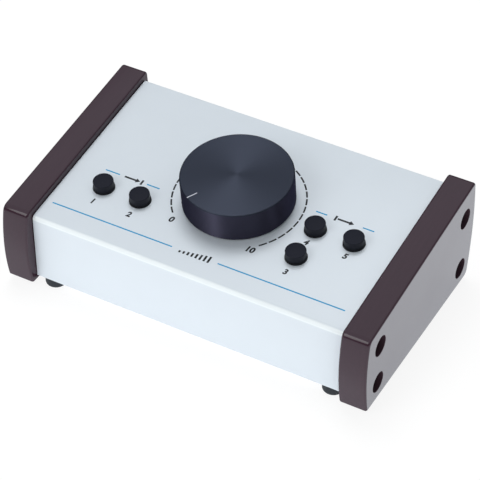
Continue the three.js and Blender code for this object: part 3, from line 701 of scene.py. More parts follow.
def as_material(fill):
    """Turns a function that fills a material's nodes into one that makes the material, or finds it by its
    name. The function gets the tree, its Principled shader and the object's own coordinates."""

    def named(name, *values, **options):
        found = bpy.data.materials.get(name)
        if found:
            return found
        made = bpy.data.materials.new(name)
        tree = cleared_tree(made)
        shader = add_node(tree, "BsdfPrincipled")
        add_node(tree, "OutputMaterial", {"Surface": shader.outputs["BSDF"]})
        fill(tree, shader, add_node(tree, "TexCoord").outputs["Object"], *values, **options)
        return made

    return named


# Materials

# Size of the fine grain over that of the broad one
GRAIN_SHARE = 0.02
# The painted highlight along the front fold: how far its middle lies below the unbent corner, and where it
# starts and ends to fade
FOLD_HIGHLIGHT_DROP, FOLD_HIGHLIGHT_START, FOLD_HIGHLIGHT_END = mm(0.8), mm(0.6), mm(1.7)
# Pitch of the flat cable's wires
WIRE_PITCH = mm(1.27)


def speckle_group():
    """Fine all-over grain: a shade that varies about 1, a roughness that varies about the given one and a
    height. The noise has the scale 1 / grain size, and a broad noise is added to it."""
    name = "fine speckle"
    if name in bpy.data.node_groups:
        return bpy.data.node_groups[name]
    tree = bpy.data.node_groups.new(name, "ShaderNodeTree")
    for label in ("Vector", "Grain size", "Shade spread", "Roughness", "Roughness spread"):
        kind = "NodeSocketVector" if label == "Vector" else "NodeSocketFloat"
        tree.interface.new_socket(name=label, in_out="INPUT", socket_type=kind)
    for label in ("Shade", "Roughness", "Height"):
        tree.interface.new_socket(name=label, in_out="OUTPUT", socket_type="NodeSocketFloat")
    given = tree.nodes.new("NodeGroupInput").outputs
    scale = maths(tree, "DIVIDE", 1.0, given["Grain size"])
    fine = noise(tree, given["Vector"], scale, detail=2.0)
    broad = noise(tree, given["Vector"], maths(tree, "MULTIPLY", scale, GRAIN_SHARE), detail=3.0)
    centred = maths(tree, "SUBTRACT", maths(tree, "ADD", fine, broad), 1.0)
    feed(tree, tree.nodes.new("NodeGroupOutput"), {
        "Shade": scaled(tree, centred, given["Shade spread"], 1.0),
        "Roughness": scaled(tree, centred, given["Roughness spread"], given["Roughness"]),
        "Height": fine,
    })
    return tree


def speckle(tree, shader, place, base, grain=0.4, spread=0.05, roughness=0.5, roughness_spread=0.1,
            relief=0.01, metallic=0.0, specular=0.5):
    """A fine speckle in colour, gloss and height, with grain and relief in millimetres. Returns the
    colour."""
    grains = add_node(tree, "Group", {
        "Vector": place, "Grain size": mm(grain), "Shade spread": spread, "Roughness": roughness,
        "Roughness spread": roughness_spread,
    }, node_tree=speckle_group()).outputs
    speckled_base = tint(tree, base, grains["Shade"])
    feed(tree, shader, {
        "Base Color": speckled_base, "Roughness": grains["Roughness"],
        "Normal": bump(tree, grains["Height"], mm(relief)),
        "Metallic": metallic, "Specular IOR Level": specular,
    })
    return speckled_base


speckled = as_material(speckle)


def metal_material(name, base, roughness):
    """Machined metal with faint drawn lines."""
    return speckled(name, base, grain=0.3, spread=0.12, roughness=roughness, roughness_spread=0.15,
                    relief=0.003, metallic=1.0)


def ink(name, base):
    return speckled(name, base, grain=0.2, spread=0.1, roughness=0.45, relief=0.002)


@as_material
def panel_material(tree, shader, place, colours):
    """Satin silver sheet, with a lighter colour blended in near the line where its front and its top would
    meet
    unbent: a painted highlight along the front fold."""
    plain = speckle(tree, shader, place, colours.panel, grain=0.25, spread=0.03, roughness=0.42,
                    roughness_spread=0.08, relief=0.004, metallic=0.06, specular=0.3)
    # Painted highlight: the fold's lighter colour is blended in along the bend, where it would catch the
    # light
    away = vector_maths(tree, "SUBTRACT", place, (0.0, COVER_LOW[1], CORNER_HEIGHT - FOLD_HIGHLIGHT_DROP))
    distance = vector_maths(tree, "LENGTH", vector_maths(tree, "MULTIPLY", away, (0.0, 1.0, 1.0)))
    painted_fold_highlight = map_range(tree, distance, start=FOLD_HIGHLIGHT_START, end=FOLD_HIGHLIGHT_END, low=1.0, high=0.0)
    feed(tree, shader, {"Base Color": blend_colours(tree, painted_fold_highlight, plain, colours.fold)})


@as_material
def cheek_material(tree, shader, place, colours, polished):
    """Dark lacquered board: faint grain that runs from front to back under a smooth coat. The polished face
    shines more at a slant, the others less."""
    stretched = vector_maths(tree, "MULTIPLY", place, (1.0, 0.06, 1.0))
    streaks = noise(tree, stretched, scale=900.0, detail=4.0, roughness=0.6)
    cloud = noise(tree, place, scale=30.0, detail=2.0, roughness=0.55)
    shade = scaled(tree, cloud, times=0.18, plus=scaled(tree, streaks, times=0.22, plus=0.80))
    low, high = (0.1, 0.7) if polished else (1.0, 0.3)
    slant = add_node(tree, "LayerWeight").outputs["Facing"]
    gloss = map_range(tree, slant, start=0.42, end=0.68, low=low, high=high, curve="LINEAR")
    if polished:
        feed(tree, shader, {"Specular IOR Level": gloss, "Coat Weight": 1.0, "IOR": 1.5})
    else:
        feed(tree, shader, {"Coat Weight": gloss, "Specular IOR Level": 0.1, "IOR": 1.15})
    feed(tree, shader, {
        "Base Color": tint(tree, colours.cheek, shade),
        "Roughness": scaled(tree, cloud, times=0.10, plus=0.30),
        "Normal": bump(tree, streaks, mm(0.004), strength=0.5), "Coat Roughness": 0.1,
    })


@as_material
def turned_metal(tree, shader, place, base, metallic, specular, roughness, anisotropy):
    """Anodised metal turned on a lathe: fine rings about the knob's axis. The gloss spreads across the rings,
    so the tangent is the cross product of the direction round the axis and the surface's own normal."""
    offset = vector_maths(tree, "SUBTRACT", place, tuple(KNOB_FOOT))
    around = vector_maths(tree, "CROSS_PRODUCT", tuple(OUT), offset)
    rise = vector_maths(tree, "DOT_PRODUCT", tuple(OUT), offset)
    reach = maths(tree, "ADD", vector_maths(tree, "LENGTH", around), rise)
    rings = add_node(tree, "TexNoise", {"W": reach, "Scale": 9000.0, "Detail": 3.0},
                     noise_dimensions="1D").outputs["Fac"]
    own_normal = add_node(tree, "TexCoord").outputs["Normal"]
    tangent = add_node(tree, "VectorTransform", {0: vector_maths(tree, "CROSS_PRODUCT", around, own_normal)},
                       vector_type="VECTOR", convert_from="OBJECT", convert_to="WORLD")
    ring_spread = 0.12
    feed(tree, shader, {
        "Base Color": tint(tree, base, scaled(tree, rings, times=0.24, plus=0.88)),
        "Roughness": scaled(tree, rings, times=ring_spread, plus=roughness - ring_spread / 2),
        "Normal": bump(tree, rings, mm(0.002), strength=0.4), "Tangent": tangent.outputs[0],
        "Metallic": metallic, "Specular IOR Level": specular, "Specular Tint": (0.3, 0.3, 0.36),
        "Anisotropic": anisotropy,
    })


@as_material
def board_material(tree, shader, place, colours):
    """Green solder mask with lighter copper tracks in two directions."""
    tracks = add_node(tree, "TexBrick", {
        "Vector": place, "Scale": 90.0, "Mortar Size": 0.03, "Color1": colours.board,
        "Color2": colours.board_shade, "Mortar": colours.track,
    }).outputs
    feed(tree, shader, {
        "Base Color": tracks["Color"], "Normal": bump(tree, tracks["Fac"], mm(0.03)), "Roughness": 0.4,
    })


@as_material
def ribbon_material(tree, shader, place, colours):
    """Grey flat cable: round wires side by side across it, one edge wire red. The rib height follows the size
    of a sine wave that crosses zero between the wires; it raises the bump and also darkens the colour between
    the wires as painted shade."""
    low = box_of("ribbon_cable")[0]
    x = add_node(tree, "SeparateXYZ", {0: place}).outputs["X"]
    across = maths(tree, "SUBTRACT", x, float(low[0]))
    wave = maths(tree, "SINE", maths(tree, "MULTIPLY", across, math.pi / WIRE_PITCH))
    rib_height_and_shade = maths(tree, "ABSOLUTE", wave)
    edge_wire = maths(tree, "LESS_THAN", across, WIRE_PITCH)
    base = blend_colours(tree, edge_wire, colours.ribbon, colours.ribbon_edge)
    feed(tree, shader, {
        # Painted shade: the colour darkens in the creases between the wires
        "Base Color": tint(tree, base, scaled(tree, rib_height_and_shade, times=0.3, plus=0.7)),
        "Normal": bump(tree, rib_height_and_shade, mm(0.25)), "Roughness": 0.55,
    })


# Case

# Gap round the knob's bore in the panel
SHAFT_ROOM = mm(1.5)


def bent_outline(start, corner, end, sizes):
    """Outline of a sheet folded once: an outer line start, corner, end, its copy one sheet inwards on the
    left, round arcs at the fold and at the two cut edges, and a point beside each arc that keeps the flats
    flat."""
    start, corner, end = np.array([start, corner, end], float)
    first, second = unit(corner - start), unit(end - corner)
    half_turn = math.atan2(first[0] * second[1] - first[1] * second[0], first @ second) / 2
    inner_start = start + left_of(first) * sizes.sheet
    inner_end = end + left_of(second) * sizes.sheet
    inner_corner = corner + (left_of(first) - first * math.tan(half_turn)) * sizes.sheet
    outer = corner_arc(start, corner, end, sizes.bend)
    inner = corner_arc(inner_end, inner_corner, inner_start, sizes.bend - sizes.sheet)
    round_the_sheet = ((inner_start, start, corner), (corner, end, inner_end), (end, inner_end, inner_corner),
                       (inner_corner, inner_start, start))
    cuts = [corner_arc(*corners, sizes.edge, CUT_STEPS) for corners in round_the_sheet]
    return np.concatenate([
        cuts[0], [outer[0] - first * SUPPORT], outer, [outer[-1] + second * SUPPORT], cuts[1],
        cuts[2], [inner[0] + second * SUPPORT], inner, [inner[-1] - first * SUPPORT], cuts[3],
    ])


def fold_sheet(name, outline, ends, low, high, sheet):
    """A folded sheet between two X planes, with a flat plate of its own thickness joined on at each end."""
    piece = add_piece(name, *extruded(outline, low, high))
    return combined(piece, "UNION", extruded(ends, low, low + sheet), extruded(ends, high - sheet, high))


def make_cover(settings):
    """Front and sloped top with their folded ends, and the holes for the shaft and the button collars."""
    sizes, buttons = settings.case, settings.buttons
    front = COVER_LOW[1] + sizes.sheet + sizes.gap
    back = COVER_HIGH[1] - sizes.sheet - sizes.gap

    def ceiling(y):
        return CORNER_HEIGHT + (y - COVER_LOW[1]) * math.tan(SLOPE) - sizes.sheet / math.cos(SLOPE)

    drop = ceiling(front) - (TRAY_LOW[2] + sizes.sheet + sizes.flange + sizes.flange_gap)
    into = sizes.sheet / 2
    ends = [(front, ceiling(front) + into), (front, ceiling(front) - drop),
            (back, ceiling(back) - drop), (back, ceiling(back) + into)]
    outline = bent_outline(COVER_HIGH[1:], PANEL_CORNER[1:], COVER_LOW[1:], sizes)
    piece = fold_sheet("cover_shell", outline, ends, COVER_LOW[0], COVER_HIGH[0], sizes.sheet)
    hole = buttons.cap / 2 + buttons.collar_gap + buttons.collar_wall + sizes.gap / 3
    reach = 2 * sizes.sheet
    holes = [stand(rod(hole, reach, BORE_SIDES), foot_on_panel(f"{name}_collar"), OUT) for name in BUTTONS]
    holes.append(stand(rod(settings.knob.bore / 2 + SHAFT_ROOM, reach, BORE_SIDES), KNOB_FOOT, OUT))
    combined(piece, "DIFFERENCE", *holes, *screw_holes("upper", settings.cheeks))
    silver = panel_material("satin silver sheet", settings.colours)
    return finish_piece(piece, "root", "panel", silver, "top_cover")


def screw_holes(row, sizes):
    """Rods that let the cheek screws of one row through both end flanges."""
    shell = rod(sizes.through / 2, COVER_HIGH[0] + PAST, HOLE_SIDES)
    return [stand(shell, centre_of(f"right_screw_{name}") * (0, 1, 1), ACROSS)
            for name in SCREWS if name.startswith(row)]


def make_tray(settings):
    """Bottom and rear wall with their folded ends, and the holes for the sockets and feet."""
    sizes = settings.case
    (low_x, front, bottom), (high_x, back, top) = TRAY_LOW, TRAY_HIGH
    floor = bottom + sizes.sheet
    into = sizes.sheet / 2
    wall = back - sizes.sheet + into
    rim = floor + sizes.flange
    ends = [(front, floor - into), (wall, floor - into), (wall, rim), (front, rim)]
    outline = bent_outline((front, bottom), (back, bottom), (back, top), sizes)
    piece = fold_sheet("tray_shell", outline, ends, low_x, high_x, sizes.sheet)
    reach = 2 * sizes.sheet
    nose = rod(settings.sockets.nut_hole / 2, reach, BORE_SIDES)
    stem = rod(settings.feet.stem / 2 + sizes.gap, reach, HOLE_SIDES)
    holes = screw_holes("lower", settings.cheeks)
    for pair in SOCKET_PAIRS:
        for row in ROWS:
            x, _, z = centre_of(f"{pair}_nut_{row}")
            holes.append(stand(nose, (x, back, z), BACK, UP))
    for foot in FEET:
        x, y, _ = centre_of(foot)
        holes.append(stand(stem, (x, y, floor), UP))
    combined(piece, "DIFFERENCE", *holes)
    silver = panel_material("satin silver sheet", settings.colours)
    return finish_piece(piece, "root", "panel", silver, "base_tray")


# Cheeks

SWELL_STEPS, EDGE_STEPS = 41, 9
# How many points of a swelling edge give way to a corner's arc
TRIM = 4
# Length of a screw from its seat, and the chamfer at its tip
SCREW_REACH, SCREW_TIP = mm(10.8), mm(0.4)
HEX_SIDES = 6
HALF_FLAT = math.pi / HEX_SIDES


def swell(low, high, bulge):
    """A line from low to high that swells to its right as 1 - (2t - 1) squared along its length."""
    way = high - low
    steps = np.linspace(0, 1, SWELL_STEPS)[:, None]
    return low + way * steps - left_of(unit(way)) * bulge * (1 - (2 * steps - 1) ** 2)


def cheek_outline(sizes, front_y, bottom_z):
    """Side view of a cheek: straight bottom, top rising with the panel, front and rear edges that swell, and
    four corners rounded by arcs."""
    back = sizes.depth + sizes.rear_lean
    front_bottom, rear_bottom = np.array([0.0, 0.0]), np.array([sizes.depth, 0.0])
    rear_top = np.array([back, sizes.front_height + back * math.tan(SLOPE)])
    front_top = np.array([0.0, sizes.front_height])
    rear = swell(rear_bottom, rear_top, sizes.rear_bulge)
    front = swell(front_top, front_bottom, sizes.front_bulge)
    outline = np.concatenate([
        corner_arc(front[-TRIM - 1], front_bottom, rear_bottom, sizes.front_bottom),
        corner_arc(front_bottom, rear_bottom, rear[TRIM], sizes.rear_bottom),
        rear[TRIM:1 - TRIM],
        corner_arc(rear[-TRIM], rear_top, front_top, sizes.rear_top),
        corner_arc(rear_top, front_top, front[TRIM], sizes.front_top),
        front[TRIM:-TRIM],
    ])
    return outline + np.array([front_y, bottom_z])


def inset(outline, distance):
    """The outline moved inwards along its own normals, by the same distance all round."""
    return outline + distance * left_of(unit(np.roll(outline, -1, axis=0) - np.roll(outline, 1, axis=0)))


def rounded_board(outline, low, high, edge):
    """A board between two X planes whose long edges are quarter rounds: at each step of the quarter the
    outline moves in by edge * (1 - sin) and sideways by edge * (1 - cos). Both faces keep a flat strip and
    then a cap."""
    quarter = np.linspace(0, math.pi / 2, EDGE_STEPS)
    moves = [(edge + SUPPORT, low)]
    moves += [(edge * (1 - math.sin(turn)), low + edge * (1 - math.cos(turn))) for turn in quarter]
    moves += [(move, high - (x - low)) for move, x in reversed(moves)]
    points, faces = ringed([np.insert(inset(outline, move), 0, x, axis=1) for move, x in moves])
    cap = np.arange(len(outline))[None]
    return points, faces + [cap[:, ::-1], cap + len(points) - len(outline)]


def outer_face(side):
    """The direction out of a cheek's outer face, 1 or -1 along X, and where that face stands."""
    low, high = box_of(f"{side}_cheek")
    return (1.0, high[0]) if side == "right" else (-1.0, low[0])


def make_cheek(side, settings):
    """One cheek with its four counterbored screw holes, whose insides get a matt colour of their own as
    painted shade. Its rear edge reaches furthest where its lean and its swell add up, which is half the lean
    and the lean squared over sixteen swells past the middle of the edge's swell."""
    sizes, colours = settings.cheeks, settings.colours
    low, high = box_of(f"{side}_cheek")
    lean_reach = sizes.rear_lean / 2 + sizes.rear_lean**2 / (16 * sizes.rear_bulge)
    front = (low[1] + high[1]) / 2 - (sizes.depth + sizes.rear_bulge + lean_reach - sizes.front_bulge) / 2
    board = rounded_board(cheek_outline(sizes, front, low[2]), low[0], high[0], sizes.edge)
    piece = add_piece(f"{side}_cheek_board", *board)
    straighten(piece)
    outward, outer = outer_face(side)
    depth, radius, bevel = sizes.bore_depth, sizes.bore / 2, sizes.bore_edge
    through, inner = sizes.through / 2, low[0] - high[0] - PAST
    hole = turned([(0, inner), (through, inner), (through, -depth), (radius, -depth), (radius, -bevel),
                   (radius + bevel, 0), (radius + bevel, PAST), (0, PAST)], BORE_SIDES)
    axes = np.array([centre_of(f"{side}_screw_{name}")[1:] for name in SCREWS])
    combined(piece, "DIFFERENCE", *(stand(hole, (outer, *axis), (outward, 0, 0), UP) for axis in axes))
    lacquer = cheek_material("plum lacquered board", colours, polished=False)
    finish_piece(piece, "root", "cheek", lacquer, f"{side}_cheek")
    middles = face_middles(piece)
    from_axis = np.linalg.norm(middles[:, None, 1:] - axes[None], axis=2).min(axis=1)
    below = np.abs(middles[:, 0] - outer)
    # Painted shade: a matt colour of its own darkens the insides of the screw holes
    bore_shade = speckled("dark stained bore", colours.bore, grain=0.3, spread=0.2, roughness=0.7, specular=0.2)
    give_faces(piece, bore_shade, (from_axis < radius + bevel) & (below > bevel / 4))
    polished = cheek_material("polished outer face", colours, polished=True)
    give_faces(piece, polished, below <= bevel / 4)


def screw_outline(sizes, gap):
    """Half section of a cap screw, head up, its seat at height zero."""
    radius, shank = sizes.head / 2, sizes.shank / 2
    top = gap + sizes.head_height
    tip = gap - SCREW_REACH
    return np.concatenate([
        [(0, tip), (shank - SCREW_TIP, tip), (shank, tip + SCREW_TIP), (shank, gap),
         (radius - FINE_BREAK, gap), (radius, gap + FINE_BREAK)],
        corner_arc((radius, gap), (radius, top), (0, top), sizes.head_round, HEAD_STEPS), [(0, top)],
    ])


def make_screws(side, settings):
    """The four socket screws of one cheek, each its own piece."""
    sizes, gap = settings.cheeks, settings.case.gap
    outward, outer = outer_face(side)
    top = gap + sizes.head_height
    low = top - sizes.socket_depth
    corner = sizes.socket / math.cos(HALF_FLAT) / 2
    socket = turned([(0, low), (corner, low), (corner, top + PAST), (0, top + PAST)], HEX_SIDES)
    body = turned(screw_outline(sizes, gap), SCREW_SIDES)
    steel = metal_material("blackened steel", settings.colours.screw, roughness=0.4)
    for name in SCREWS:
        _, y, z = centre_of(f"{side}_screw_{name}")
        place = ((outer - outward * sizes.bore_depth, y, z), (outward, 0, 0), UP)
        piece = add_piece(f"{side}_screw_{name}_head", *stand(body, *place))
        combined(piece, "DIFFERENCE", stand(socket, *place))
        finish_piece(piece, "root", "screw", steel, f"{side}_screw_{name}")


# Feet

def make_foot(name, settings):
    """A rubber foot: head below the tray, stem through it and a barb inside."""
    sizes = settings.feet
    low, high = box_of(name)
    middle = (low + high) / 2
    radius, stem = (high[0] - low[0]) / 2, sizes.stem / 2
    bottom, top = low[2], low[2] + sizes.head
    neck = TRAY_LOW[2] + settings.case.sheet + settings.case.gap
    outline = np.concatenate([
        [(0, bottom), (radius - sizes.edge - SUPPORT, bottom)],
        corner_arc((0, bottom), (radius, bottom), (radius, top), sizes.edge),
        corner_arc((radius, bottom), (radius, top), (0, top), EDGE_BREAK, SMALL_STEPS),
        [(stem, top), (stem, neck), (sizes.barb / 2, neck), (stem / 2, neck + sizes.barb_height),
         (0, neck + sizes.barb_height)],
    ])
    points, faces = turned(outline)
    piece = add_piece(f"{name}_rubber", points + middle * (1, 1, 0), faces)
    rubber = speckled("matt rubber", settings.colours.rubber, grain=0.3, spread=0.15, roughness=0.75,
                      relief=0.02)
    return finish_piece(piece, "root", "rubber", rubber, name)


# Volume knob

# Gap between the groove's walls and its paint
PAINT_GAP = mm(0.02)
# Share of the rim's rounding that counts as the face
FACE_RIM = 0.9


def make_knob(settings):
    """The spun knob, hollow from below, with a hub, a bore and a groove cut in its face for the pointer."""
    sizes, colours = settings.knob, settings.colours
    radius, bore, hub = sizes.diameter / 2, sizes.bore / 2, sizes.hub / 2
    low, top = sizes.gap, sizes.gap + sizes.height
    ceiling, inner = top - sizes.top_wall, radius - sizes.wall
    outline = np.concatenate([
        [(0, sizes.bore_top), (bore, sizes.bore_top), (bore, sizes.hub_rise), (hub, sizes.hub_rise),
         (hub, ceiling), (inner, ceiling), (inner, low + EDGE_BREAK), (inner + EDGE_BREAK, low),
         (radius - EDGE_BREAK, low)],
        corner_arc((0, low), (radius, low), (radius, top), LIP, SMALL_STEPS),
        [(radius, top - sizes.edge - SUPPORT)],
        corner_arc((radius, 0), (radius, top), (0, top), sizes.edge, RIM_STEPS),
        [(radius - sizes.edge - SUPPORT, top), (radius / 2, top), (0, top)],
    ])
    piece = add_piece("knob_body", *stand(turned(outline, KNOB_SIDES), KNOB_FOOT, OUT))
    end = radius - sizes.pointer_gap
    start, floor = end - sizes.pointer_length, top - sizes.pointer_depth

    def pointer(*measures):
        return stand(spin(bar(*measures), sizes.pointer_angle), KNOB_FOOT, OUT)

    combined(piece, "DIFFERENCE", pointer(start, end, sizes.pointer_width, floor, top + PAST))
    # The side and the face differ in gloss as turned metal does; their colours are also set apart to match
    # how each is lit, as painted light
    side = turned_metal("turned side", colours.knob, metallic=1.0, specular=0.5, roughness=0.55,
                        anisotropy=0.95)
    finish_piece(piece, "volume", "knob", side, "volume_knob")
    face = turned_metal("turned face", colours.knob_face, metallic=0.9, specular=0.2, roughness=0.52,
                        anisotropy=0.5)
    give_faces(piece, face, (face_middles(piece) - KNOB_FOOT) @ OUT > top - sizes.edge * FACE_RIM)
    paint = pointer(start + PAINT_GAP, end - PAINT_GAP, sizes.pointer_width - 2 * PAINT_GAP,
                    floor + PAINT_GAP, top - PAINT_GAP)
    mark = add_piece("pointer_paint", *paint)
    white = speckled("white paint", colours.pointer, grain=0.1, spread=0.04, relief=0.003)
    return finish_piece(mark, "volume", "knob", white)


def bar(start, end, width, low, high):
    """A bar along X with rounded ends in plan: a stadium outline carried from low to high."""
    radius = width / 2
    turn = np.linspace(-math.pi / 2, math.pi / 2, EDGE_STEPS)
    head = np.column_stack([end - radius + radius * np.cos(turn), radius * np.sin(turn)])
    tail = np.column_stack([start + radius - radius * np.cos(turn), -radius * np.sin(turn)])
    plan = np.concatenate([head, tail])
    return prism(*(np.insert(plan, 2, height, axis=1) for height in (low, high)))


# Push buttons

CROWN_STEPS, COIL_STEPS, WIRE_SIDES = 14, 24, 12


def cap_outline(sizes):
    """Half section of a cap: a blind round socket below, a straight skirt, a round rim and a crowned face
    whose height falls from the middle as crown times the square of the radius share."""
    radius, socket = sizes.cap / 2, sizes.socket / 2
    shoulder, bottom = sizes.rise - sizes.crown, -sizes.skirt
    rim = corner_arc((radius, 0), (radius, shoulder), (0, shoulder), sizes.edge, RIM_STEPS)
    across = np.linspace(rim[-1, 0], 0, CROWN_STEPS)[1:]
    crown = np.column_stack([across, shoulder + sizes.crown * (1 - (across / rim[-1, 0]) ** 2)])
    hollow = bottom + sizes.socket_depth
    return np.concatenate([
        [(0, hollow), (socket, hollow), (socket, bottom), (radius - FINE_BREAK, bottom),
         (radius, bottom + FINE_BREAK), (radius, 0)],
        rim, crown,
    ])


def collar_outline(sizes, case):
    """Half section of a collar: a thin tube through the panel, tapered to a rounded lip, and a flange under
    it."""
    bore, flange = sizes.cap / 2 + sizes.collar_gap, sizes.flange / 2
    outer = bore + sizes.collar_wall
    under = -case.sheet - case.gap
    bottom = under - sizes.flange_thickness
    turn = np.linspace(0, math.pi, EDGE_STEPS)
    radius = (sizes.collar_wall - sizes.collar_taper) / 2
    lip = np.column_stack([bore + radius + radius * np.cos(turn),
                           sizes.collar_rise - radius + radius * np.sin(turn)])
    return np.concatenate([
        [(bore, bottom), (flange, bottom), (flange, under), (outer, under), (outer, 0)], lip, [(bore, 0)],
    ])


def make_button(name, settings):
    """A cap that travels with its button, the collar that stays in the panel, and the return spring."""
    sizes, colours = settings.buttons, settings.colours
    foot = foot_on_panel(f"{name}_collar")
    cap = add_piece(f"{name}_cap_body", *stand(turned(cap_outline(sizes)), foot, OUT))
    matt = speckled("matt black plastic", colours.button, grain=0.2, spread=0.2, specular=0.2)
    finish_piece(cap, f"{name}_button", "button", matt, f"{name}_cap")
    collar = add_piece(f"{name}_collar_ring", *stand(turned(collar_outline(sizes, settings.case)), foot, OUT))
    dark = speckled("black collar plastic", colours.collar, grain=0.2, spread=0.2, roughness=0.4,
                    relief=0.006, specular=0.2)
    finish_piece(collar, "root", "collar", dark, f"{name}_collar")
    make_spring(name, foot, settings)


def make_spring(name, foot, settings):
    """The return spring: a round section carried along a helix. The ends are closed by one pole each."""
    sizes = settings.buttons
    low, high = box_of(f"{name}_spring")
    slant = abs(OUT[1]) * (sizes.coil + sizes.wire)
    reach = ((high[2] - low[2]) - slant) / 2 / OUT[2]
    centre = ((low + high) / 2 - foot) @ OUT
    bottom, top = centre - reach, centre + reach
    turn = np.linspace(0, 1, sizes.turns * COIL_STEPS + 1) * sizes.turns * 2 * math.pi
    radius, wire = sizes.coil / 2, sizes.wire / 2
    climb = (top - bottom - sizes.wire) / (sizes.turns * 2 * math.pi)
    spoke = ring_points(1.0, turn, 0.0)
    ahead = unit(np.column_stack([-radius * np.sin(turn), radius * np.cos(turn), np.full_like(turn, climb)]))
    upward = np.cross(spoke, ahead)
    path = ring_points(radius, turn, bottom + wire + climb * turn)[:, None]
    section = full_turn(WIRE_SIDES)[None, :, None]
    rows = path + wire * (np.cos(section) * spoke[:, None] + np.sin(section) * upward[:, None])
    ends = np.repeat(path[[0, -1]], WIRE_SIDES, axis=1)
    helix = ringed(np.concatenate([ends[:1], rows, ends[1:]]))
    piece = add_piece(f"{name}_return_spring", *stand(helix, foot, OUT))
    straighten(piece)
    steel = metal_material("spring steel", settings.colours.spring, roughness=0.3)
    finish_piece(piece, "root", "steel", steel, f"{name}_spring")
    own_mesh(piece)


# Jack sockets

NOSE_STEPS, NUT_SIDES = 40, 144
# How far the turned-down ring of a nut stays inside its flats
NUT_RING = mm(0.1)


def make_sockets(name, settings):
    """A block with two bores and two threaded noses, one over the other, and their nuts."""
    sizes, case = settings.sockets, settings.case
    low, high = box_of(f"{name}_jacks")
    inside = TRAY_HIGH[1] - case.sheet - case.gap
    corners = np.array([(low[1], low[2]), (inside, low[2]), (inside, high[2]), (low[1], high[2])])
    rounded = np.concatenate([
        corner_arc(before, corner, after, sizes.block_edge, SMALL_STEPS)
        for before, corner, after in zip(np.roll(corners, 1, axis=0), corners, np.roll(corners, -1, axis=0))
    ])
    piece = add_piece(f"{name}_socket_block", *extruded(rounded, low[0], high[0]))
    radius, depth = sizes.bore / 2, sizes.bore_depth
    mouth = radius + EDGE_BREAK
    bore = turned([(0, -depth), (radius, -depth), (radius, -EDGE_BREAK), (mouth, 0), (mouth, PAST),
                   (0, PAST)], BORE_SIDES)
    nose = ringed(nose_rows(sizes, high[1] - inside + case.sheet))
    tips = [((low[0] + high[0]) / 2, high[1], centre_of(f"{name}_nut_{row}")[2]) for row in ROWS]
    combined(piece, "UNION", *(stand(nose, tip, BACK, UP) for tip in tips))
    combined(piece, "DIFFERENCE", *(stand(bore, tip, BACK, UP) for tip in tips))
    black = speckled("moulded black", settings.colours.socket, grain=0.3, spread=0.2, roughness=0.45)
    finish_piece(piece, "root", "socket", black, f"{name}_jacks")
    for row in ROWS:
        make_nut(f"{name}_nut_{row}", settings)


def nose_rows(sizes, long):
    """Rings of a threaded nose with its tip at height zero: the radius dips by a triangle wave of the height
    less the turn, one pitch a turn, and the dip fades out at both ends."""
    height = np.linspace(-long, -LIP, NOSE_STEPS)[:, None]
    turn = full_turn(BORE_SIDES)
    phase = (height / sizes.pitch - turn / (2 * math.pi)) % 1.0
    fade = np.clip((-height - EDGE_BREAK) / FINE_BREAK, 0, 1) * np.clip((height + long) / FINE_BREAK, 0, 1)
    radius = sizes.nose / 2 - sizes.thread * fade * (1 - np.abs(2 * phase - 1))
    ends = lathe_rows([(0.0, -long), (sizes.nose / 2 - LIP, 0.0), (0.0, 0.0)], BORE_SIDES)
    return np.concatenate([ends[:1], ring_points(radius, turn, height), ends[1:]])


def make_nut(name, settings):
    """A hexagonal nut. Round the hexagon the reach to the flats is half the width over the cosine of the
    angle from the nearest flat, and the turned-down corners drop by as much as the reach passes the chamfer
    circle."""
    sizes = settings.sockets
    low, high = box_of(name)
    turn = full_turn(NUT_SIDES)
    from_flat = (turn + HALF_FLAT) % (2 * HALF_FLAT) - HALF_FLAT
    reach = sizes.nut / 2 / np.cos(from_flat)
    circle = sizes.nut / 2 - NUT_RING
    drop = sizes.chamfer * (reach - circle) / (sizes.nut / 2 / math.cos(HALF_FLAT) - circle)
    hole, thick = sizes.nut_hole / 2, sizes.nut_thickness
    profile = [(hole, LIP), (hole + LIP, 0.0), (circle, 0.0), (reach, drop), (reach, thick - drop),
               (circle, thick), (hole + LIP, thick), (hole, thick - LIP)]
    hexagon = ringed([ring_points(radius, turn, height) for radius, height in profile], closed=True)
    foot = ((low[0] + high[0]) / 2, low[1], (low[2] + high[2]) / 2)
    piece = add_piece(f"{name}_hex", *stand(spin(hexagon, math.pi / 2), foot, BACK, UP))
    straighten(piece)
    nickel = metal_material("nickel plate", settings.colours.nut, roughness=0.24)
    return finish_piece(piece, "root", "nut", nickel, name)


# Printing

# How the plain built-in face is drawn: fullness of its strokes and fineness of its curves
STROKE_FULLNESS, CURVE_STEPS = 0.042, 6
DASH_STEPS = 9
# Half width of an arrow's head over its length
ARROW_SPREAD = 0.6


def on_panel(across, up, height):
    """Points in space from places across the panel, up its slope and above its face."""
    across, up, height = np.broadcast_arrays(across, up, height)
    return PANEL_CORNER + across[..., None] * ACROSS + up[..., None] * UP_SLOPE + height[..., None] * OUT


def slab(plan, film):
    """A thin closed slab of ink with a flat outline of places across and up the panel, anticlockwise."""
    across, up = np.asarray(plan, float).T
    return prism(on_panel(across, up, 0.0), on_panel(across, up, film))


def strip(line, width, film):
    """A thin strip of ink along a line of places across and up the panel, half its width to each side."""
    line = np.asarray(line, float)
    aside = left_of(unit(np.gradient(line, axis=0))) * width / 2
    return slab(np.concatenate([line - aside, (line + aside)[::-1]]), film)


def print_piece(name, shells, ink_material):
    """One printed piece on the panel, from closed slabs."""
    piece = add_piece(name, *gathered(shells))
    straighten(piece)
    return finish_piece(piece, "root", "panel", ink_material)


